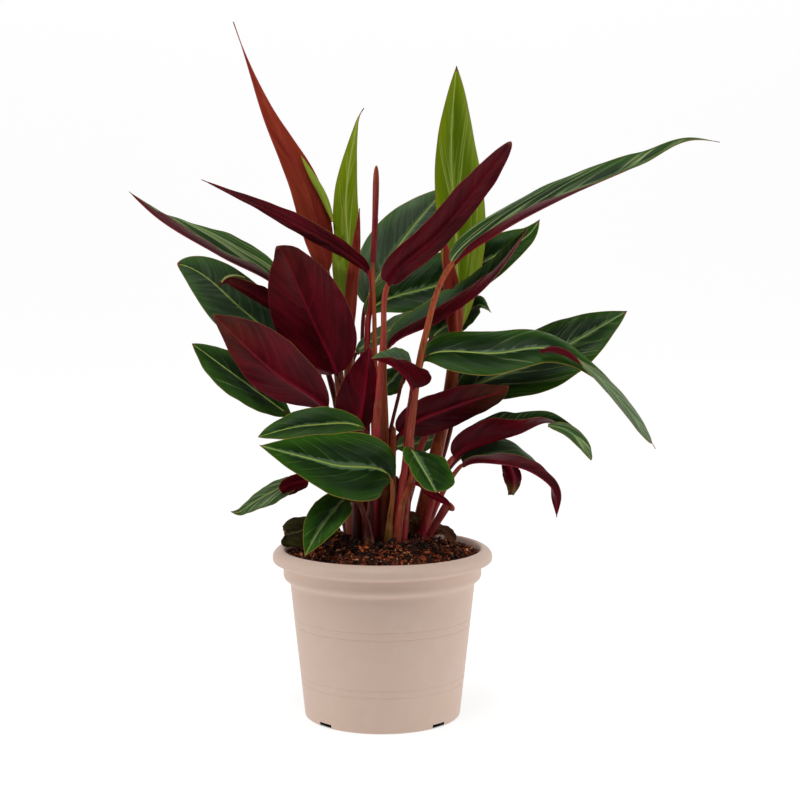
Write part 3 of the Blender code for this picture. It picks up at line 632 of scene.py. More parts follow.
# %% Leaf list
Leaf = namedtuple("Leaf", "name kind foot stalk blade left right widest sharp twist girth neck",
                  defaults=(1.7, 0, 3.6, 1.6))
LEAVES = [
    Leaf("leaf_tall_left", "rust", (-24, 8), [(-36, 20, 273), (-43, 28, 334)],
         [(-50, 31, 382), (-67, 30, 456), (-100, 27, 524), (-128, 24, 599)],
         (14, 4, 3), (-13, -3, -3), 0.24, 2.6, 0, 5, 4.5),
    Leaf("leaf_dart_left", "red", (-17, 5), [(-14, 12, 256), (-13, 16, 335)],
         [(-12, 17, 385), (-37, 14, 406), (-71, 10, 425), (-155, 10, 464)],
         (4, -10, 7), (-4, 9, -6), 0.28, 1.5, 0, 4.2, 2.3),
    Leaf("leaf_young_centre", "young", (-26, 12), [(-30, 30, 255), (-29, 36, 334)],
         [(-27, 34, 369), (-32, 34, 447), (-19, 28, 528)], (-12, -2, 0), (11, 6, 0), 0.34, 2.1, 0, 5, 4.5),
    Leaf("leaf_far_left", "green", (-24, 12), [(-42, 40, 271), (-63, 48, 333)],
         [(-89, 49, 370), (-144, 48, 400), (-203, 46, 436), (-223, 45, 455)],
         (0, -20, 6), (5, 14, 19), 0.36, 1.7, 25, 3.8, 2),
    Leaf("leaf_broad_left", "green", (-24, 10), [(-47, 30, 237), (-73, 36, 300)],
         [(-84, 38, 314), (-126, 36, 354), (-167, 28, 388), (-180, 26, 393)],
         (-24, -12, -12), (17, 4, 19), 0.42, 1.15, 0, 3.8, 2),
    Leaf("leaf_curl_left", "red", (-22, 16), [(-47, 34, 254), (-64, 34, 316)],
         [(-81, 33, 345), (-109, 28, 364), (-139, 20, 380)], (5, -6, 8), (-3, 5, -5), 0.45),
    Leaf("leaf_heart_red", "red", (-22, 0), [(-28, 6, 231), (-33, 8, 274)],
         [(-39, 8, 297), (-56, 6, 335), (-87, 10, 407)], (32, -11, 12), (-33, 11, -10), 0.42, 1.3),
    Leaf("leaf_low_red", "red", (-22, -4), [(-26, -6, 215), (-32, -4, 249)],
         [(-47, -4, 268), (-92, -6, 300), (-144, 8, 347)], (19, -14, 22), (-14, 12, -17), 0.45),
    Leaf("leaf_low_left", "green", (-26, 8), [(-42, 22, 202), (-62, 28, 246)],
         [(-80, 28, 258), (-125, 20, 292), (-165, 12, 323)], (-9, -16, -12), (10, 14, 12), 0.5),
    Leaf("leaf_front_upper", "green", (-14, -14), [(-9, -12, 207), (-9, -12, 237)],
         [(-14, -13, 249), (-59, -24, 256), (-105, -28, 246)], (-2, -13, -11), (2, 8, 14), 0.5),
    Leaf("leaf_front_large", "green", (5, -16), [(7, -17, 178), (9, -16, 193)],
         [(8, -18, 207), (-42, -52, 226), (-100, -72, 244)], (-4, -20, -26), (2, 10, 28), 0.34, 1.6),
    Leaf("leaf_front_hanging", "green", (-9, -22), [(-15, -26, 179), (-20, -28, 190)],
         [(-27, -30, 193), (-45, -48, 180), (-64, -62, 150)], (11, -13, -6), (-12, 2, 12), 0.4),
    Leaf("leaf_twisted_left", "green", (-20, 10), [(-37, 14, 186), (-50, 12, 204)],
         [(-65, 10, 206), (-98, 0, 194), (-127, -12, 176)], (3, -12, -8), (-2, 6, 6), 0.42, 1.4),
    Leaf("leaf_red_centre", "red", (-14, -4), [(-18, 0, 188), (-19, 0, 214)],
         [(-21, 0, 247), (-16, -2, 279), (-11, 4, 322)], (14, 6, -2), (-23, -6, 3), 0.35),
    Leaf("leaf_red_raised", "red", (-9, -8), [(-5, -12, 250), (1, -14, 328)],
         [(5, -14, 375), (49, -16, 419), (106, -22, 490)],
         (9, 9, -8), (-11, -11, 10), 0.36, 0.8, 0, 4.4, 2.3),
    Leaf("leaf_tall_right", "young", (28, 14), [(48, 34, 228), (58, 41, 272)],
         [(65, 45, 329), (65, 46, 413), (60, 40, 491), (64, 28, 562)],
         (-16, -5, 0), (27, 8, 0), 0.47, 1.7, 0, 6.5, 6),
    Leaf("leaf_long_right", "green", (14, -4), [(25, -7, 257), (36, -12, 328)],
         [(60, 2, 392), (101, 8, 421), (153, 16, 448), (223, 24, 478), (270, 28, 499), (293, 30, 497)],
         (-7, 22, 14), (7, -18, 9), 0.26, 1.9, 30, 4.5, 2.3),
    Leaf("leaf_behind_right", "green", (-2, 12), [(-8, 38, 246), (-10, 52, 307)],
         [(-14, 58, 344), (60, 70, 377), (141, 66, 423)], (-8, 10, 25), (9, -16, -20), 0.45),
    Leaf("leaf_folded_right", "green", (1, 6), [(-2, 18, 238), (-2, 22, 290)],
         [(3, 23, 318), (50, 22, 344), (85, 24, 368), (123, 30, 416)], (-8, 14, 17), (-2, -14, 10), 0.42),
    Leaf("leaf_grey_behind", "green", (-16, 14), [(-27, 34, 236), (-29, 42, 289)],
         [(-24, 44, 312), (1, 44, 330), (33, 40, 352)], (-4, 7, 7), (4, -9, -6), 0.45),
    Leaf("leaf_silver_behind", "green", (-8, 18), [(-15, 54, 244), (-19, 70, 315)],
         [(-16, 78, 355), (10, 92, 402), (58, 90, 461)], (-24, 8, 14), (28, -4, -12), 0.42),
    Leaf("leaf_drooping_right", "green", (12, -8), [(20, -9, 215), (24, -7, 272)],
         [(33, -2, 309), (101, -4, 316), (142, -8, 320), (186, -14, 297), (233, -20, 235)],
         (-4, 24, 17), (0, -20, -17), 0.22, 3.2, 15, 4.6, 1.8),
    Leaf("leaf_wide_right", "green", (20, 12), [(22, 26, 190), (44, 34, 250)],
         [(64, 38, 272), (144, 44, 309), (216, 44, 350)],
         (-10, 20, 23), (12, -24, -22), 0.47, 1.7, 0, 4.4, 2.3),
    Leaf("leaf_red_right", "red", (3, 6), [(6, 12, 204), (8, 14, 231)],
         [(15, 14, 244), (59, 14, 267), (103, 8, 281)], (3, 9, -18), (-5, -8, 17), 0.38, 1.2),
    Leaf("leaf_bent_right", "green", (31, 10), [(47, 12, 195), (55, 12, 214)],
         [(62, 12, 224), (90, 8, 238), (117, 4, 246), (145, 0, 256), (167, -2, 246), (180, -4, 223)],
         (2, 12, 19), (-4, -5, 20), 0.25, 2.4, 110, 4, 2),
    Leaf("leaf_arched_right", "green", (31, 6), [(50, 15, 187), (60, 15, 205)],
         [(70, 14, 217), (101, 7, 220), (131, 1, 212), (148, -1, 197), (151, -1, 173)],
         (1, 19, 21), (1, -19, 7), 0.25, 1.5, -60),
    Leaf("leaf_small_hanging", "red", (28, 12), [(50, 27, 200), (72, 29, 224), (93, 29, 227)],
         [(106, 27, 219), (114, 23, 205), (112, 17, 189)], (-8, -4, -1), (8, 4, 1), 0.4),
    Leaf("leaf_small_front", "green", (11, -17), [(17, -16, 185), (26, -13, 220)],
         [(24, -20, 234), (34, -46, 222), (45, -72, 205)], (32, -8, -14), (-17, 1, 9), 0.55, 1.1),
    Leaf("leaf_small_upper", "green", (9, -13), [(19, -14, 216), (24, -17, 259)],
         [(27, -20, 287), (13, -34, 305), (-9, -46, 314)], (18, -18, 5), (0, 16, 18), 0.35),
    Leaf("leaf_dark_point", "red", (16, -10), [(20, -11, 178), (23, -13, 197)],
         [(29, -16, 205), (42, -24, 197), (57, -30, 189)], (0, 5, -5), (1, -5, 6), 0.4),
    Leaf("spear_pink", "spear", (33, -8), [(36, -8, 152)],
         [(40, -8, 158), (48, -8, 172), (57, -8, 187)], (3, 1, -2), (-3, -1, 2), 0.35),
    Leaf("spear_rolled", "spear", (-6, 4), [(-6, 12, 248), (-7, 14, 343)],
         [(-8, 12, 393), (-6, 12, 434), (-5, 10, 476)], (2, 2, 0), (-2, -2, 0), 0.35),
    Leaf("leaf_behind_tall", "green", (12, 18), [(26, 38, 235), (33, 54, 297)],
         [(42, 62, 323), (67, 66, 343), (91, 62, 358)], (-5, 12, 13), (6, -12, -9), 0.45),
    Leaf("leaf_hidden_middle", "green", (-2, 20), [(-4, 40, 209), (-6, 50, 253)],
         [(-5, 54, 274), (8, 58, 288), (22, 60, 304)], (-7, 8, 7), (8, -10, -8), 0.45),
    Leaf("leaf_hidden_low", "green", (4, 16), [(6, 36, 192), (7, 48, 216)],
         [(10, 52, 226), (30, 57, 231), (52, 58, 236)], (-2, 11, 10), (2, -11, -8), 0.45),
    Leaf("leaf_back_left", "green", (-14, 18), [(-34, 46, 230), (-42, 56, 275)],
         [(-50, 66, 295), (-90, 130, 325), (-122, 190, 325)], (-24, -18, 4), (24, 18, 4), 0.42),
    Leaf("leaf_back_right", "green", (18, 18), [(44, 38, 195), (62, 56, 250)],
         [(68, 74, 283), (110, 132, 303), (152, 190, 298)], (-24, 18, 6), (24, -18, 2), 0.42),
    Leaf("leaf_back_low", "green", (-6, 22), [(-14, 44, 180), (-16, 52, 205)],
         [(-22, 62, 220), (-50, 112, 238), (-78, 160, 226)], (-22, -12, 4), (22, 12, 4), 0.42),
    Leaf("leaf_back_centre", "green", (10, 24), [(24, 46, 185), (34, 66, 214)],
         [(42, 80, 234), (66, 118, 252), (90, 164, 250)], (-22, 12, 4), (22, -12, 4), 0.42),
    Leaf("leaf_withered", "withered", (-26, 4), [(-32, 6, 154)],
         [(-36, 6, 158), (-60, 2, 162), (-88, -8, 157)], (2, -9, -12), (-2, 10, 10), 0.6, 1.2),
    Leaf("sheath_dried", "withered", (26, 18), [(31, 28, 150)],
         [(35, 31, 153), (50, 34, 156), (64, 29, 146)], (1, -6, -4), (-1, 6, 6), 0.5, 1.1),
]
print("leaves and spears:", len(LEAVES))

# %% [markdown]
# On a few leaves a margin rolls over, so that a strip of the other side shows along it: bright green
# on the rust leaf, rust on the two lime ones, and burgundy where the long leaf droops. Each is a
# narrow blade of its own on the leaf's margin, in the same terms as a leaf, and so is the dried stub
# by the stalks. Fine tips end in a small hook. Among the stalks stand a few bare ones, whose leaves
# are hidden or were cut off. They have the terms of a leaf too, but only their stalk is made. The
# darkest, bare_dark, fills a gap between the stalks with near-black painted shade.

# %% Rolled margins
ROLLS = [
    Leaf("roll_tall_left", "young", None, [], [(-43, 28, 428), (-51, 28, 450), (-61, 27, 468), (-71, 27, 486)],
         (-3, 1, -1.6), (2.6, 1.5, 1.5), 0.45, 1.4),
    Leaf("roll_young_centre", "rust", None, [], [(-28, 31, 330), (-27, 30, 366), (-23, 29, 404), (-20, 30, 440)],
         (5, 2, 0), (-6, 1, 0), 0.36, 1.5),
    Leaf("roll_tall_right", "rust", None, [], [(64, 34, 326), (62, 35, 360), (57, 36, 396), (53, 39, 420)],
         (8, 3, 0), (-8, 2, 0), 0.3, 1.5),
    Leaf("roll_young_base", "young", None, [], [(-33, 32, 352), (-38, 32, 385), (-38, 32, 420), (-36, 33, 452)],
         (-6, 1, 0), (7, 1, 0), 0.36, 1.5),
    Leaf("roll_drooping_right", "red", None, [], [(134, -23, 318.5), (143, -23, 320), (153, -23, 318), (170, -22, 305.5)],
         (-1, 2, -2.8), (1, 1, 2.8), 0.42, 1.6),
    Leaf("roll_drooping_tip", "green", None, [], [(160, -20, 315), (184, -24, 296), (208, -26, 270), (229, -24, 240)],
         (1, 3, 7), (-1, -1, -7), 0.62, 1.5),
    Leaf("roll_bent_tip", "green", None, [], [(142, -8, 254), (158, -10, 250), (172, -10, 238), (180, -8, 224)],
         (1, 2, 7), (-1, -1, -6), 0.5, 1.1),
    Leaf("stub_dried", "withered", None, [], [(19, 8, 150), (21, 9, 161), (27, 10, 170), (37, 12, 168)],
         (-7, 2, 3), (7, 1, -5), 0.5, 0.7),
    Leaf("roll_curl_left", "green", None, [], [(-140, 16, 376), (-135, 16, 380.5), (-128, 17, 382), (-119, 18, 380)],
         (0.2, 0.6, 1.2), (-0.2, -0.6, -1.2), 0.3, 1.4),
    Leaf("roll_twisted_left", "red", None, [], [(-64, -2, 206), (-76, -5, 204), (-88, -8, 197)],
         (3, -2, 9), (-3, 1, -11), 0.5, 0.6),
]
TIP_HOOKS = {
    "leaf_broad_left": (1, 0, -1), "leaf_curl_left": (-4, -2, -8), "leaf_heart_red": (-4, -4, 0),
    "leaf_twisted_left": (-3, -2, 4), "leaf_red_raised": (2, -3, 4), "leaf_red_right": (6, -5, 6),
    "leaf_behind_tall": (6, 0, -10), "leaf_folded_right": (4, 0, 7), "leaf_behind_right": (-1, 0, 8),
    "leaf_young_centre": (3, 0, -2), "spear_pink": (5, 0, -7), "leaf_dark_point": (3, 0, -3),
    "leaf_low_red": (-2, -3, 2), "leaf_small_hanging": (-2, -3, 1), "leaf_withered": (4, 0, 6),
}
BARE = [
    Leaf("bare_brown", "stalk", (1, -2), [(2, -1, 250)], [(1, -4, 318), (2, -8, 334)], (1, 0, 0), (-1, 0, 0), 0.5, 1, 0, 5, 3),
    Leaf("bare_thin", "stalk", (1, 5), [(5, 4, 238)], [(17, 3, 292), (22, 2, 320)], (1, 0, 0), (-1, 0, 0), 0.5, 1, 0, 2.6, 1.4),
    Leaf("bare_middle", "stalk", (7, 2), [(8, 4, 200)], [(9, 6, 250), (10, 8, 276)], (1, 0, 0), (-1, 0, 0), 0.5, 1, 0, 5, 3),
    Leaf("bare_right", "stalk", (16, 2), [(20, 4, 190)], [(25, 6, 240), (28, 8, 280)], (1, 0, 0), (-1, 0, 0), 0.5, 1, 0, 5, 3),
    Leaf("bare_left", "stalk", (-8, 0), [(-9, 2, 200)], [(-10, 6, 240), (-10, 8, 260)], (1, 0, 0), (-1, 0, 0), 0.5, 1, 0, 5, 3),
    # bare_dark: a near-black stalk put into a gap between the stalks, painted shade standing for the dark behind them
    Leaf("bare_dark", "stalk", (9, 10), [(11, 12, 185)], [(12, 12, 205), (12.5, 12, 232)], (1, 0, 0), (-1, 0, 0), 0.5, 1, 0, 4.6, 3.6),
]
print("rolled margins:", len(ROLLS), "hooked tips:", len(TIP_HOOKS), "bare stalks:", len(BARE))

# %% [markdown]
# No two leaves of one plant look alike. The list below gives what makes each one itself: how strong
# its long pale streaks are, how much painted silvery sheen lies on its top (a brown on the dried
# sheath and stub), how much olive green shows through the red of its underside near the tip, how far
# the pale feathered band spreads from the midrib, how far the side veins lean towards the tip, and
# how much the midrib and the fine arcs of the veins stand out.

# %% Looks of single leaves
Look = namedtuple("Look", "streak silver olive band lean rib arcs",
                  defaults=(0.25, 0.05, 0.0, 1.0, 1.0, 0.7, 0.15))
LOOKS = {
    "leaf_far_left": Look(1.0, 0.05, lean=4.5, rib=1.0),
    "roll_drooping_tip": Look(1.0, 1.0, lean=5, band=0.5, rib=0.0),
    "roll_bent_tip": Look(1.0, 0.3, lean=4, band=0.5, rib=0.0),
    "roll_curl_left": Look(1.0, 1.0, rib=0.0, band=0, arcs=0),
    "leaf_broad_left": Look(0.35, 0.22, band=0.5, arcs=0.1),
    "leaf_low_left": Look(0.5, 0.05, band=0.5, lean=2),
    "leaf_front_upper": Look(0.15, 0.05, band=0.6, lean=1.7, arcs=0.3),
    "leaf_front_large": Look(0.06, 0.0, band=1.1, lean=1.7, arcs=0.35),
    "leaf_front_hanging": Look(0.3, 0.0, band=0.8, lean=1.5, arcs=0.2),
    "leaf_twisted_left": Look(0.9, 0.25, band=0.6, lean=2.4),
    "leaf_long_right": Look(1.0, 0.05, lean=4.5, rib=1.0),
    "leaf_behind_right": Look(0.2, 0.0),
    "leaf_folded_right": Look(0.3, 0.15, lean=1.6),
    "leaf_grey_behind": Look(0.5, 0.4),
    "leaf_silver_behind": Look(0.4, 0.4, band=1.3),
    "leaf_drooping_right": Look(0.3, 0.0, lean=1.5, arcs=0.05),
    "leaf_wide_right": Look(0.5, 0.0, lean=1.4, band=1.4, arcs=0.4),
    "leaf_small_upper": Look(0.4, 0.35),
    "leaf_small_front": Look(0.3, 0.0, band=1.2, arcs=0.3),
    "leaf_bent_right": Look(0.7, 0.15, rib=0.4),
    "leaf_arched_right": Look(0.4, 0.2),
    "leaf_dart_left": Look(rib=0.2),
    "leaf_heart_red": Look(olive=0.05, rib=0.45),
    "leaf_low_red": Look(olive=0.12, rib=0.45),
    "leaf_curl_left": Look(olive=0.1, rib=0.3),
    "leaf_small_hanging": Look(olive=1.0),
    "leaf_red_right": Look(olive=0.2),
    "leaf_red_raised": Look(rib=0.0),
    "sheath_dried": Look(silver=1.0),
    "stub_dried": Look(silver=1.0),
    "leaf_tall_right": Look(0.6, 0.0, lean=4, arcs=0.15),
    "leaf_young_centre": Look(0.9, 0.0, lean=5, arcs=0.1),
    "leaf_tall_left": Look(0.6, 0.0, lean=2.8, rib=0.1, arcs=0.1),
    "roll_tall_left": Look(0.8, 0.0, lean=3, rib=0, arcs=0, band=0),
    "roll_young_centre": Look(lean=3, rib=0, arcs=0, band=0),
    "roll_young_base": Look(0.3, 0.0, lean=3, rib=0, arcs=0, band=0),
    "roll_twisted_left": Look(lean=2, rib=0.2, arcs=0, band=0),
    "roll_tall_right": Look(lean=3, rib=0, arcs=0, band=0),
    "roll_drooping_right": Look(lean=3, rib=0, arcs=0, band=0),
}
print("leaves with a look of their own:", len(LOOKS))

# %% [markdown]
# ## The blade's form
# A blade is two sheets, the top and the underside, that meet at the margin. Row by row along the
# midrib, the width follows a product of two powers: one opens it from the base, the other closes it
# to the tip. Each half bulges between midrib and margin, and the margin ripples. The underside lies
# below the top by the blade's thickness, which swells to a keel at the midrib.

# %% Blade surface
BLADE_ROWS, BLADE_COLUMNS = 96, 37
EDGE_WAVE, BLADE_ARCH, TIP_HALF_WIDTH, GAP = 1.2, 0.10, 0.5, 0.3
MARGIN_THICKNESS, SKIN_THICKNESS, RIB_THICKNESS = 0.3, 0.6, 2.4


def stalk_and_midrib(leaf):
    """The leaf's one smooth line, cut in two at the base of the blade. The tip bends by its hook, which
    grows with the square of the way along the last tenth of the midrib."""
    if leaf.foot is None:
        return None, smooth_path(leaf.blade)
    line = smooth_path([(*leaf.foot, 140), *leaf.stalk, *leaf.blade])
    base = DENSE * (1 + len(leaf.stalk))
    midrib = line[base:]
    way = travelled(midrib)
    bent = np.clip((way / way[-1] - 0.9) / 0.1, 0, 1) ** 2
    return line[: base + 1], midrib + bent[:, None] * np.array(TIP_HOOKS.get(leaf.name, (0, 0, 0)))


def blade_width(leaf, t):
    """(t / widest) to a power times ((1 - t) / (1 - widest)) to a power: 1 where the blade is widest."""
    base = (t / leaf.widest) ** (leaf.sharp * leaf.widest)
    tip = ((1 - t) / (1 - leaf.widest)) ** (leaf.sharp * (1 - leaf.widest))
    return base * tip


def half_blade(leaf, side, tangent, t):
    """One half's direction, square to the midrib and turned by the twist, and its width along it."""
    reach = np.array(side, float)
    across = reach - tangent * (tangent @ reach)[:, None]
    at_widest = np.linalg.norm(across[np.argmin(abs(t - leaf.widest))])
    turn = math.radians(leaf.twist) * np.clip((t - leaf.widest) / (1 - leaf.widest), 0, 1)[:, None]
    across = across * np.cos(turn) + np.cross(tangent, across) * np.sin(turn)
    floor = leaf.neck * (1 - t) ** 3 + TIP_HALF_WIDTH * t
    return unit(across), np.maximum(at_widest * blade_width(leaf, t), floor)


def blade_sheets(leaf, order):
    """Top and underside as rows by columns, with what the finish needs to know at each point."""
    _, line = stalk_and_midrib(leaf)
    length = travelled(line)[-1]
    row = np.linspace(0, 1, BLADE_ROWS)
    t = row - 0.06 * np.sin(2 * math.pi * row)
    midrib = along(line, t)
    midrib[0] = along(line, [2 * GAP / length])[0]
    tangent = unit(along(line, np.minimum(1, t + 0.01)) - along(line, np.maximum(0, t - 0.01)))
    right, right_width = half_blade(leaf, leaf.right, tangent, t)
    left, left_width = half_blade(leaf, leaf.left, tangent, t)
    up = unit(np.cross(tangent, left - right))
    v = np.linspace(-1, 1, BLADE_COLUMNS)
    v = np.sign(v) * abs(v) ** 1.15
    out = abs(v)[None, :]
    width = np.where(v[None, :] < 0, right_width[:, None], left_width[:, None])
    direction = np.where(v[None, :, None] < 0, right[:, None], left[:, None])
    phase = 9 * t[:, None] + 2 * order + v[None, :]
    ripple = EDGE_WAVE * out**2 * np.sin(phase)
    ripple = ripple + 0.45 * out**3 * np.sin(2.7 * phase + order) + 0.25 * out**2 * np.sin(4.9 * phase + 3 * order)
    if leaf.kind == "withered":
        ripple = ripple * 2 + 0.8 * np.sin(3.7 * phase + 5 * v) * np.sin(11 * t[:, None] - 6 * v)
    lift = 4 * BLADE_ARCH * out * (1 - out) * width + ripple * np.minimum(1, width / 12)
    distance = out * width
    groove = 0.5 * (1 - t[:, None]) * np.exp(-((distance / 1.6) ** 2)) * ease(3, 8, width)
    top = midrib[:, None] + direction * distance[..., None] + up[:, None] * (lift - groove)[..., None]
    normal = np.cross(np.gradient(top, axis=0), np.gradient(top, axis=1))
    normal = unit(normal + 1e-9 * up[:, None])
    margin = width - distance
    skin = MARGIN_THICKNESS + (SKIN_THICKNESS - MARGIN_THICKNESS) * ease(0, 3, margin)
    rib = RIB_THICKNESS * (1 - t[:, None]) ** 1.5 * np.exp(-((distance / 2.0) ** 2))
    under = top - normal * (skin + rib)[..., None]
    lean = LOOKS.get(leaf.name, Look()).lean
    vein = (t[:, None] * length - distance * lean * (1 + 0.9 * distance / width.max())) / math.hypot(1, lean)
    full = np.broadcast_to
    values = {"along": full(t[:, None] * length, out.shape[:0] + distance.shape), "across": distance * np.sign(v),
              "margin": margin, "vein": vein, "share": full(t[:, None], distance.shape)}
    return top, under, values


tall, _, measures = blade_sheets(LEAVES[0], 0)
print(LEAVES[0].name, "is", round(float(measures["along"].max())), "mm long")

# %% [markdown]
# Two sheets make a solid once a narrow strip closes the margin, the base and the tip. The point
# numbers of the two grids give all the faces at once.

# %% Blade solid
def blade_mesh(leaf, order, top, under, values):
    """Both sheets and the strip round them, with the leaf's own looks kept on every point."""
    count = top.shape[0] * top.shape[1]
    upper = np.arange(count).reshape(top.shape[:2])
    lower = upper + count
    loop = np.concatenate([upper[:-1, -1], upper[-1, :0:-1], upper[:0:-1, 0], upper[0, :-1]])
    after = np.roll(loop, -1)
    strip = np.stack([loop, after, after + count, loop + count], -1)
    faces = np.concatenate([quads(upper), quads(lower)[:, ::-1], strip])
    look = LOOKS.get(leaf.name, Look())
    kept = {key: np.tile(np.ravel(numbers), 2) for key, numbers in values.items()}
    kept["side"] = np.repeat([0.0, 1.0], count)
    kept["seed"] = np.full(2 * count, order * 3.7)
    for key in ("streak", "silver", "olive", "band", "rib", "arcs"):
        kept[key] = np.full(2 * count, getattr(look, key))
    return to_mesh(leaf.name, np.concatenate([top.reshape(-1, 3), under.reshape(-1, 3)]), faces, kept, sharp=60)


print("faces on one blade:", 2 * (BLADE_ROWS - 1) * (BLADE_COLUMNS - 1) + 2 * (BLADE_ROWS + BLADE_COLUMNS - 2))

# %% [markdown]
# ## The leaf's colours
# Seen from above, a grown leaf is deep green. A thin yellow-green midrib runs through a feathered
# grey-green band, fine side veins arc towards the tip, and long pale strokes lie between some of
# them, as if brushed on. A painted silvery sheen, brushed along the veins, lies over parts of the
# top. The margin is a thin brown line and the tip is dry. Seen from below, the same leaf is satin
# burgundy with a crimson midrib. One finish does both: the value side is 0 on the top sheet and 1 on
# the underside.

# %% Leaf finish
def leaf_finish(name, top, under, roughness=0.36):
    """top and under each name the colours dark, light, streak, midrib and edge. top adds the painted
    sheen (a brown on dried leaves) and band, and under adds olive."""
    finish = Finish(name, roughness, Specular_IOR_Level=0.1)
    vein, across, margin, share, seed = (finish.value(key) for key in ("vein", "across", "margin", "share", "seed"))
    distance = abs(across)
    rib = finish.value("rib")
    cloud = finish.noise(finish.point(vein * 0.05, across * 0.07, seed + 5), 1, 3)
    wander = vein + cloud * 9
    brush = finish.noise(finish.point(wander * 0.30, distance * 0.030, seed), 1, 3, 0.55)
    fine = finish.noise(finish.point(wander * 1.3, distance * 0.05, seed + 9), 1, 2, 0.5)
    rib_width = 0.4 + 0.6 * (1 - share)
    midrib = (distance / rib_width).step(1.1, 0.5)
    swell = share.step(-0.1, 0.4) * (1.25 - share)
    teeth = (0.8 + brush.step(0.3, 0.7) * 3.4 + cloud * 1.6 + fine * 1.6) * finish.value("band") * swell
    band = (distance / teeth).step(1.1, 0.4)
    gentle = vein + cloud * 3
    arcs = gentle.comb(11, 500) * distance.step(1.5, 5) * margin.step(0.5, 4) * cloud.step(0.35, 0.6)
    folds = gentle.comb(11, 2)
    streak = finish.value("streak")
    strokes = brush.step(0.66 - streak * 0.18, 0.82 - streak * 0.14) * (0.4 + 0.6 * fine.step(0.3, 0.6))
    strokes = strokes * margin.step(0.5, 4) * cloud.step(0.3, 0.45)
    edge = margin.step(0.9, 0.3)
    dry = share.step(0.972, 0.99)
    upper = finish.mix(margin.step(14, 1) * 0.7 + cloud.step(0.35, 0.7) * 0.3, top["dark"], top["light"])
    upper = finish.mix(fine.step(0.5, 0.8) * 0.25, upper, top["light"])
    # painted sheen: a pale silvery tone brushed along the veins stands in for the satin's reflection; on dried leaves
    # the same mix gives a brown
    upper = finish.mix(finish.value("silver") * (0.4 + 0.6 * brush.step(0.3, 0.7)) * 0.8, upper, top["silver"])
    upper = finish.mix(strokes * streak, upper, top["streak"])
    upper = finish.mix(arcs * finish.value("arcs"), upper, top["midrib"])
    upper = finish.mix(band * 0.6, upper, top["band"])
    upper = finish.mix(midrib * rib.step(-0.3, 0.5) * 0.9, upper, top["midrib"])
    upper = finish.mix(edge * 0.75, upper, top["edge"])
    lower = finish.mix(cloud.step(0.3, 0.75), under["dark"], under["light"])
    lower = finish.mix(brush.step(0.5, 0.8) * 0.3, lower, under["streak"])
    lower = finish.mix(folds ** 6 * 0.12 * margin.step(0.5, 4), lower, under["streak"])
    green = finish.value("olive") * share.step(0.5, 0.95) * cloud.step(0.15, 0.5)
    lower = finish.mix(green * 0.85, lower, under["olive"])
    lower = finish.mix(midrib * rib, lower, under["midrib"])
    lower = finish.mix(edge * 0.6, lower, under["edge"])
    colour = finish.mix(finish.value("side"), upper, lower)
    colour = finish.mix(dry * 0.9, colour, tone(120, 66, 40))
    relief = fine * 0.35 + folds * 0.5 - midrib * 0.4
    return finish.wear(colour, roughness + 0.12 * fine - 0.05 * strokes, relief, 0.0004)


BURGUNDY = {"dark": tone(66, 2, 12), "light": tone(95, 6, 21), "streak": tone(130, 20, 42),
            "midrib": tone(146, 8, 40), "olive": tone(104, 100, 30), "edge": tone(126, 40, 52)}
GROWN = leaf_finish("grown_leaf", {
    "dark": tone(14, 38, 10), "light": tone(46, 86, 14), "streak": tone(166, 186, 122), "silver": tone(136, 152, 130),
    "midrib": tone(172, 190, 88), "band": tone(112, 144, 100), "edge": tone(148, 126, 50)}, BURGUNDY)
YOUNG = leaf_finish("young_leaf", {
    "dark": tone(88, 114, 6), "light": tone(130, 152, 12), "streak": tone(196, 208, 104), "silver": tone(150, 168, 80),
    "midrib": tone(194, 202, 96), "band": tone(150, 176, 60), "edge": tone(160, 112, 54)}, BURGUNDY)
RUST = leaf_finish("rust_leaf", {
    "dark": tone(90, 130, 8), "light": tone(124, 160, 20), "streak": tone(180, 204, 80), "silver": tone(150, 168, 80),
    "midrib": tone(204, 212, 110), "band": tone(160, 186, 74), "edge": tone(196, 110, 104)},
    {"dark": tone(126, 36, 26), "light": tone(158, 62, 38), "streak": tone(180, 84, 56), "midrib": tone(164, 56, 50),
     "olive": tone(120, 90, 40), "edge": tone(196, 90, 96)})
WITHERED = leaf_finish("withered_leaf", {
    "dark": tone(34, 34, 14), "light": tone(66, 68, 30), "streak": tone(96, 84, 50), "silver": tone(104, 56, 32),
    "midrib": tone(110, 104, 60), "band": tone(80, 80, 48), "edge": tone(60, 34, 18)},
    {"dark": tone(48, 24, 16), "light": tone(84, 50, 30), "streak": tone(112, 76, 48), "midrib": tone(96, 58, 36),
     "olive": tone(70, 70, 30), "edge": tone(60, 34, 18)}, roughness=0.6)
FINISHES = {"green": GROWN, "red": GROWN, "young": YOUNG, "rust": RUST, "withered": WITHERED}
print("leaf finishes:", len(set(FINISHES.values())))

# %% Make the blades
for order, leaf in enumerate(LEAVES + ROLLS):
    if leaf.kind != "spear":
        mesh = blade_mesh(leaf, order, *blade_sheets(leaf, order))
        replaced = [leaf.name] if leaf.foot else []
        show(leaf.name + "_blade", mesh, FINISHES[leaf.kind], leaf.kind, *replaced)
print("blades made:", len([leaf for leaf in LEAVES + ROLLS if leaf.kind != "spear"]))
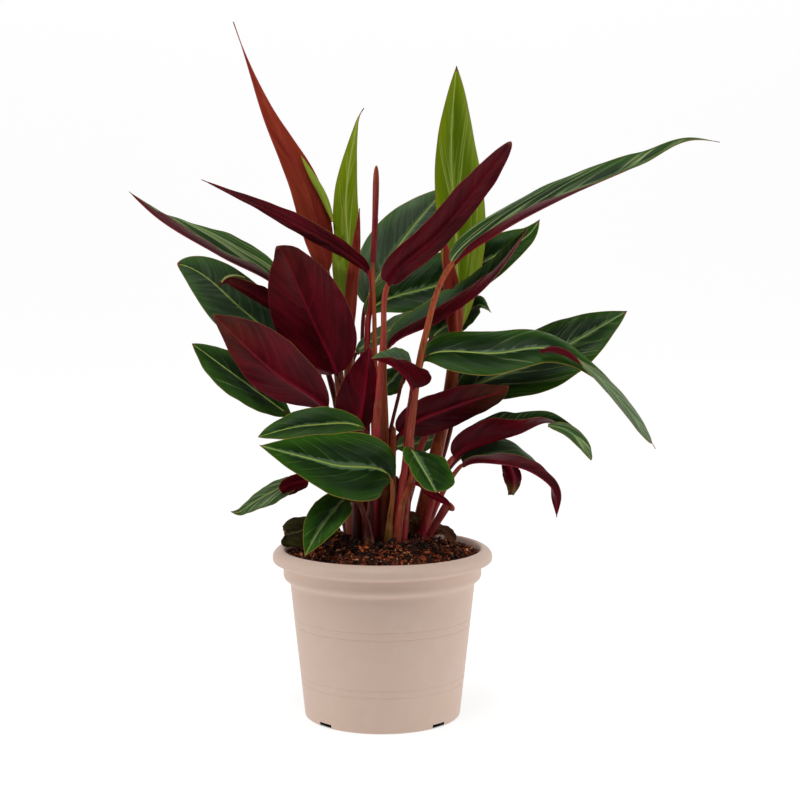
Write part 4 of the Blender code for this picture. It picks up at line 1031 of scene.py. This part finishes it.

# %% [markdown]
# ## Stalks and spears
# A stalk is a tube: rings of points square to its line. Its lower half is wrapped in a sheath, which
# is thicker and ends in a pale mouth, and near the blade it has a smooth, slightly swollen joint that
# turns the leaf to the light. Each stalk has its own colour, from pink to orange, olive and brown.
# The stalks crowded in the middle and behind, and all not listed, are a near-black crimson that is
# partly their own colour and partly painted shade.

# %% Stalk surface
STALK_SIDES = 18
STALK_TONES = {
    "pink": (tone(156, 28, 48), tone(160, 56, 44)),
    "orange": (tone(146, 54, 34), tone(170, 78, 40)),
    "olive": (tone(112, 80, 22), tone(150, 84, 40)),
    "crimson": (tone(134, 14, 36), tone(150, 28, 36)),
    "brown": (tone(128, 54, 28), tone(150, 66, 28)),
    # dark: a near-black crimson, partly the stalks' own colour and partly painted shade where they crowd in the middle
    # and behind
    "dark": (tone(56, 8, 10), tone(92, 18, 18)),
}
STALK_COLOURS = {
    "leaf_tall_left": "orange", "leaf_dart_left": "crimson", "leaf_young_centre": "brown", "leaf_red_raised": "pink",
    "leaf_long_right": "orange", "leaf_tall_right": "brown", "leaf_drooping_right": "crimson",
    "leaf_wide_right": "pink", "leaf_bent_right": "pink", "leaf_arched_right": "pink", "leaf_front_large": "olive",
    "leaf_small_front": "orange", "leaf_small_upper": "pink", "spear_rolled": "orange", "leaf_red_centre": "orange",
    "leaf_behind_right": "orange", "leaf_folded_right": "brown", "leaf_dark_point": "pink", "spear_pink": "pink",
    "leaf_withered": "olive", "sheath_dried": "brown", "bare_brown": "brown", "bare_middle": "brown",
    "bare_right": "orange", "bare_left": "brown",
}


def tube(line, shares, radii, sides):
    """Rings of points square to a line, with the radius given for each ring, closed at both ends."""
    points = along(line, shares)
    tangent = unit(along(line, np.minimum(1, shares + 0.005)) - along(line, np.maximum(0, shares - 0.005)))
    side = unit(np.cross(tangent, (0.03, 1, 0.02)))
    other = np.cross(side, tangent)
    angle = np.linspace(0, 2 * math.pi, sides, endpoint=False)
    spoke = side[:, None] * np.cos(angle)[:, None] + other[:, None] * np.sin(angle)[:, None]
    rings = points[:, None] + spoke * radii[..., None]
    index = np.arange(rings.size // 3).reshape(rings.shape[:2])
    ends = np.array([[index.size] * sides, [index.size + 1] * sides])
    full = wrap(np.concatenate([ends[:1], index, ends[1:]]))
    faces = quads(full)
    return np.vstack([rings.reshape(-1, 3), points[:1], points[-1:]]), faces, angle


def stalk(leaf, order):
    """Radius = a taper from girth to neck, plus the sheath's step, the joint's swelling and low ribs."""
    line, blade = stalk_and_midrib(leaf)
    length = travelled(line)[-1]
    run_on = min(9, 0.08 * travelled(blade)[-1])
    blade_start = along(blade, [run_on / travelled(blade)[-1]])
    whole = np.vstack([line, blade_start])
    shares = np.linspace(0, 1, max(14, round(length / 3)))
    mouth = 0.42 + 0.16 * math.sin(5 * order)
    radius = leaf.girth + (leaf.neck - leaf.girth) * shares**1.3
    wrapped = 1 - ease(mouth - 0.01, mouth + 0.012, shares)
    joint = np.exp(-(((1 - shares) * length - 16) / 9) ** 2)
    end = 1 - 0.75 * ease(1 - run_on / length, 1, shares)
    angle = np.linspace(0, 2 * math.pi, STALK_SIDES, endpoint=False)
    overlap = 0.1 * np.cos(angle - 2.3 * order - 1.2 * shares[:, None])
    ribs = 0.02 * np.sin(7 * angle)[None, :]
    sheath = 0.12 * wrapped + 0.22 * (1 - ease(0, 0.6, shares))
    radii = (radius * (0.9 + sheath + 0.1 * joint) * end)[:, None] * (1 + overlap * wrapped[:, None] + ribs)
    points, faces, _ = tube(whole, shares, radii, STALK_SIDES)
    low, high = (np.array(shade) for shade in STALK_TONES[STALK_COLOURS.get(leaf.name, "dark")])
    lip = np.exp(-(((shares - mouth) * length / 1.6) ** 2)) * 0.2
    tint = low + (high - low) * ease(0.1, 0.8, shares)[:, None]
    tint = tint + (np.array(tone(196, 160, 110)) - tint) * lip[:, None]
    tint = np.vstack([np.repeat(tint[:, None], STALK_SIDES, axis=1).reshape(-1, 4), tint[:1], tint[-1:]])
    shares = np.append(np.repeat(shares, STALK_SIDES), [0, 1])
    return points, faces, {"tint": tint, "along": shares * length, "seed": np.full(len(points), order * 2.9)}


def joined(parts):
    """Several sets of points, faces and values as one."""
    offsets = np.cumsum([0] + [len(points) for points, _, _ in parts[:-1]])
    points = np.vstack([points for points, _, _ in parts])
    faces = np.vstack([faces + offset for (_, faces, _), offset in zip(parts, offsets)])
    values = {key: np.concatenate([values[key] for _, _, values in parts]) for key in parts[0][2]}
    return points, faces, values


# %% [markdown]
# The skin of a stalk is satin, with lengthwise streaks of a lighter and a darker tone.

# %% Stalk finish
skin = Finish("stalk_skin", 0.38, Specular_IOR_Level=0.2)
where = skin.place()
long_grain = skin.node("VectorMath", {"operation": "MULTIPLY"}, (where, (1, 1, 0.06)))
streaks = skin.noise(long_grain, 520, 3, 0.6)
blotch = skin.noise(skin.point(skin.value("along") * 0.05, skin.value("seed"), 0), 1, 2)
shade = skin.mix(streaks.step(0.5, 0.7) * 0.25, skin.colour("tint"), tone(200, 104, 80))
shade = skin.mix(streaks.step(0.5, 0.28) * 0.7, shade, tone(70, 12, 12))
shade = skin.mix(blotch.step(0.4, 0.75) * 0.3, shade, tone(112, 78, 26))
skin_material = skin.wear(shade, 0.34 + 0.2 * streaks, streaks, 0.0003)
stalk_parts = [stalk(leaf, order) for order, leaf in enumerate(LEAVES + BARE)]
stalks = show("stalks", to_mesh("stalks", *joined(stalk_parts), sharp=60), skin_material, "stalk", "stems")
print("stalk faces:", len(stalks.data.polygons))

# %% [markdown]
# A new leaf comes up rolled into a spear. Its section is a spiral that overlaps itself once, so the
# radius grows by a step where the outer turn ends, and that step winds slowly round the spear.

# %% Spears
def spear(leaf, order):
    """Radius = half width times a lens shape along the spear, with a step at the spiral's edge."""
    _, line = stalk_and_midrib(leaf)
    shares = np.linspace(0, 1, 70)
    angle = np.linspace(0, 2 * math.pi, 28, endpoint=False)
    width = np.linalg.norm(leaf.left)
    body = width * np.maximum(0.12, (0.8 + 0.35 * shares) * np.sqrt(1 - shares**9))
    turn = (angle[None, :] / (2 * math.pi) + 0.6 * shares[:, None] + 0.3 * order) % 1
    radii = body[:, None] * (0.86 + 0.2 * turn)
    points, faces, _ = tube(line, shares, radii, 28)
    low, high = (np.array(shade) for shade in (tone(132, 26, 38), tone(140, 56, 34)))
    tint = low + (high - low) * ease(0.5, 1, shares)[:, None]
    tint = np.vstack([np.repeat(tint[:, None], 28, axis=1).reshape(-1, 4), tint[:1], tint[-1:]])
    values = {"tint": tint, "along": np.append(np.repeat(shares * 80, 28), [0, 80]),
              "seed": np.full(len(points), order * 2.9)}
    return to_mesh(leaf.name, points, faces, values, sharp=60)


for order, leaf in enumerate(LEAVES):
    if leaf.kind == "spear":
        show(leaf.name + "_roll", spear(leaf, order), skin_material, "rust", leaf.name)
print("spears:", [leaf.name for leaf in LEAVES if leaf.kind == "spear"])
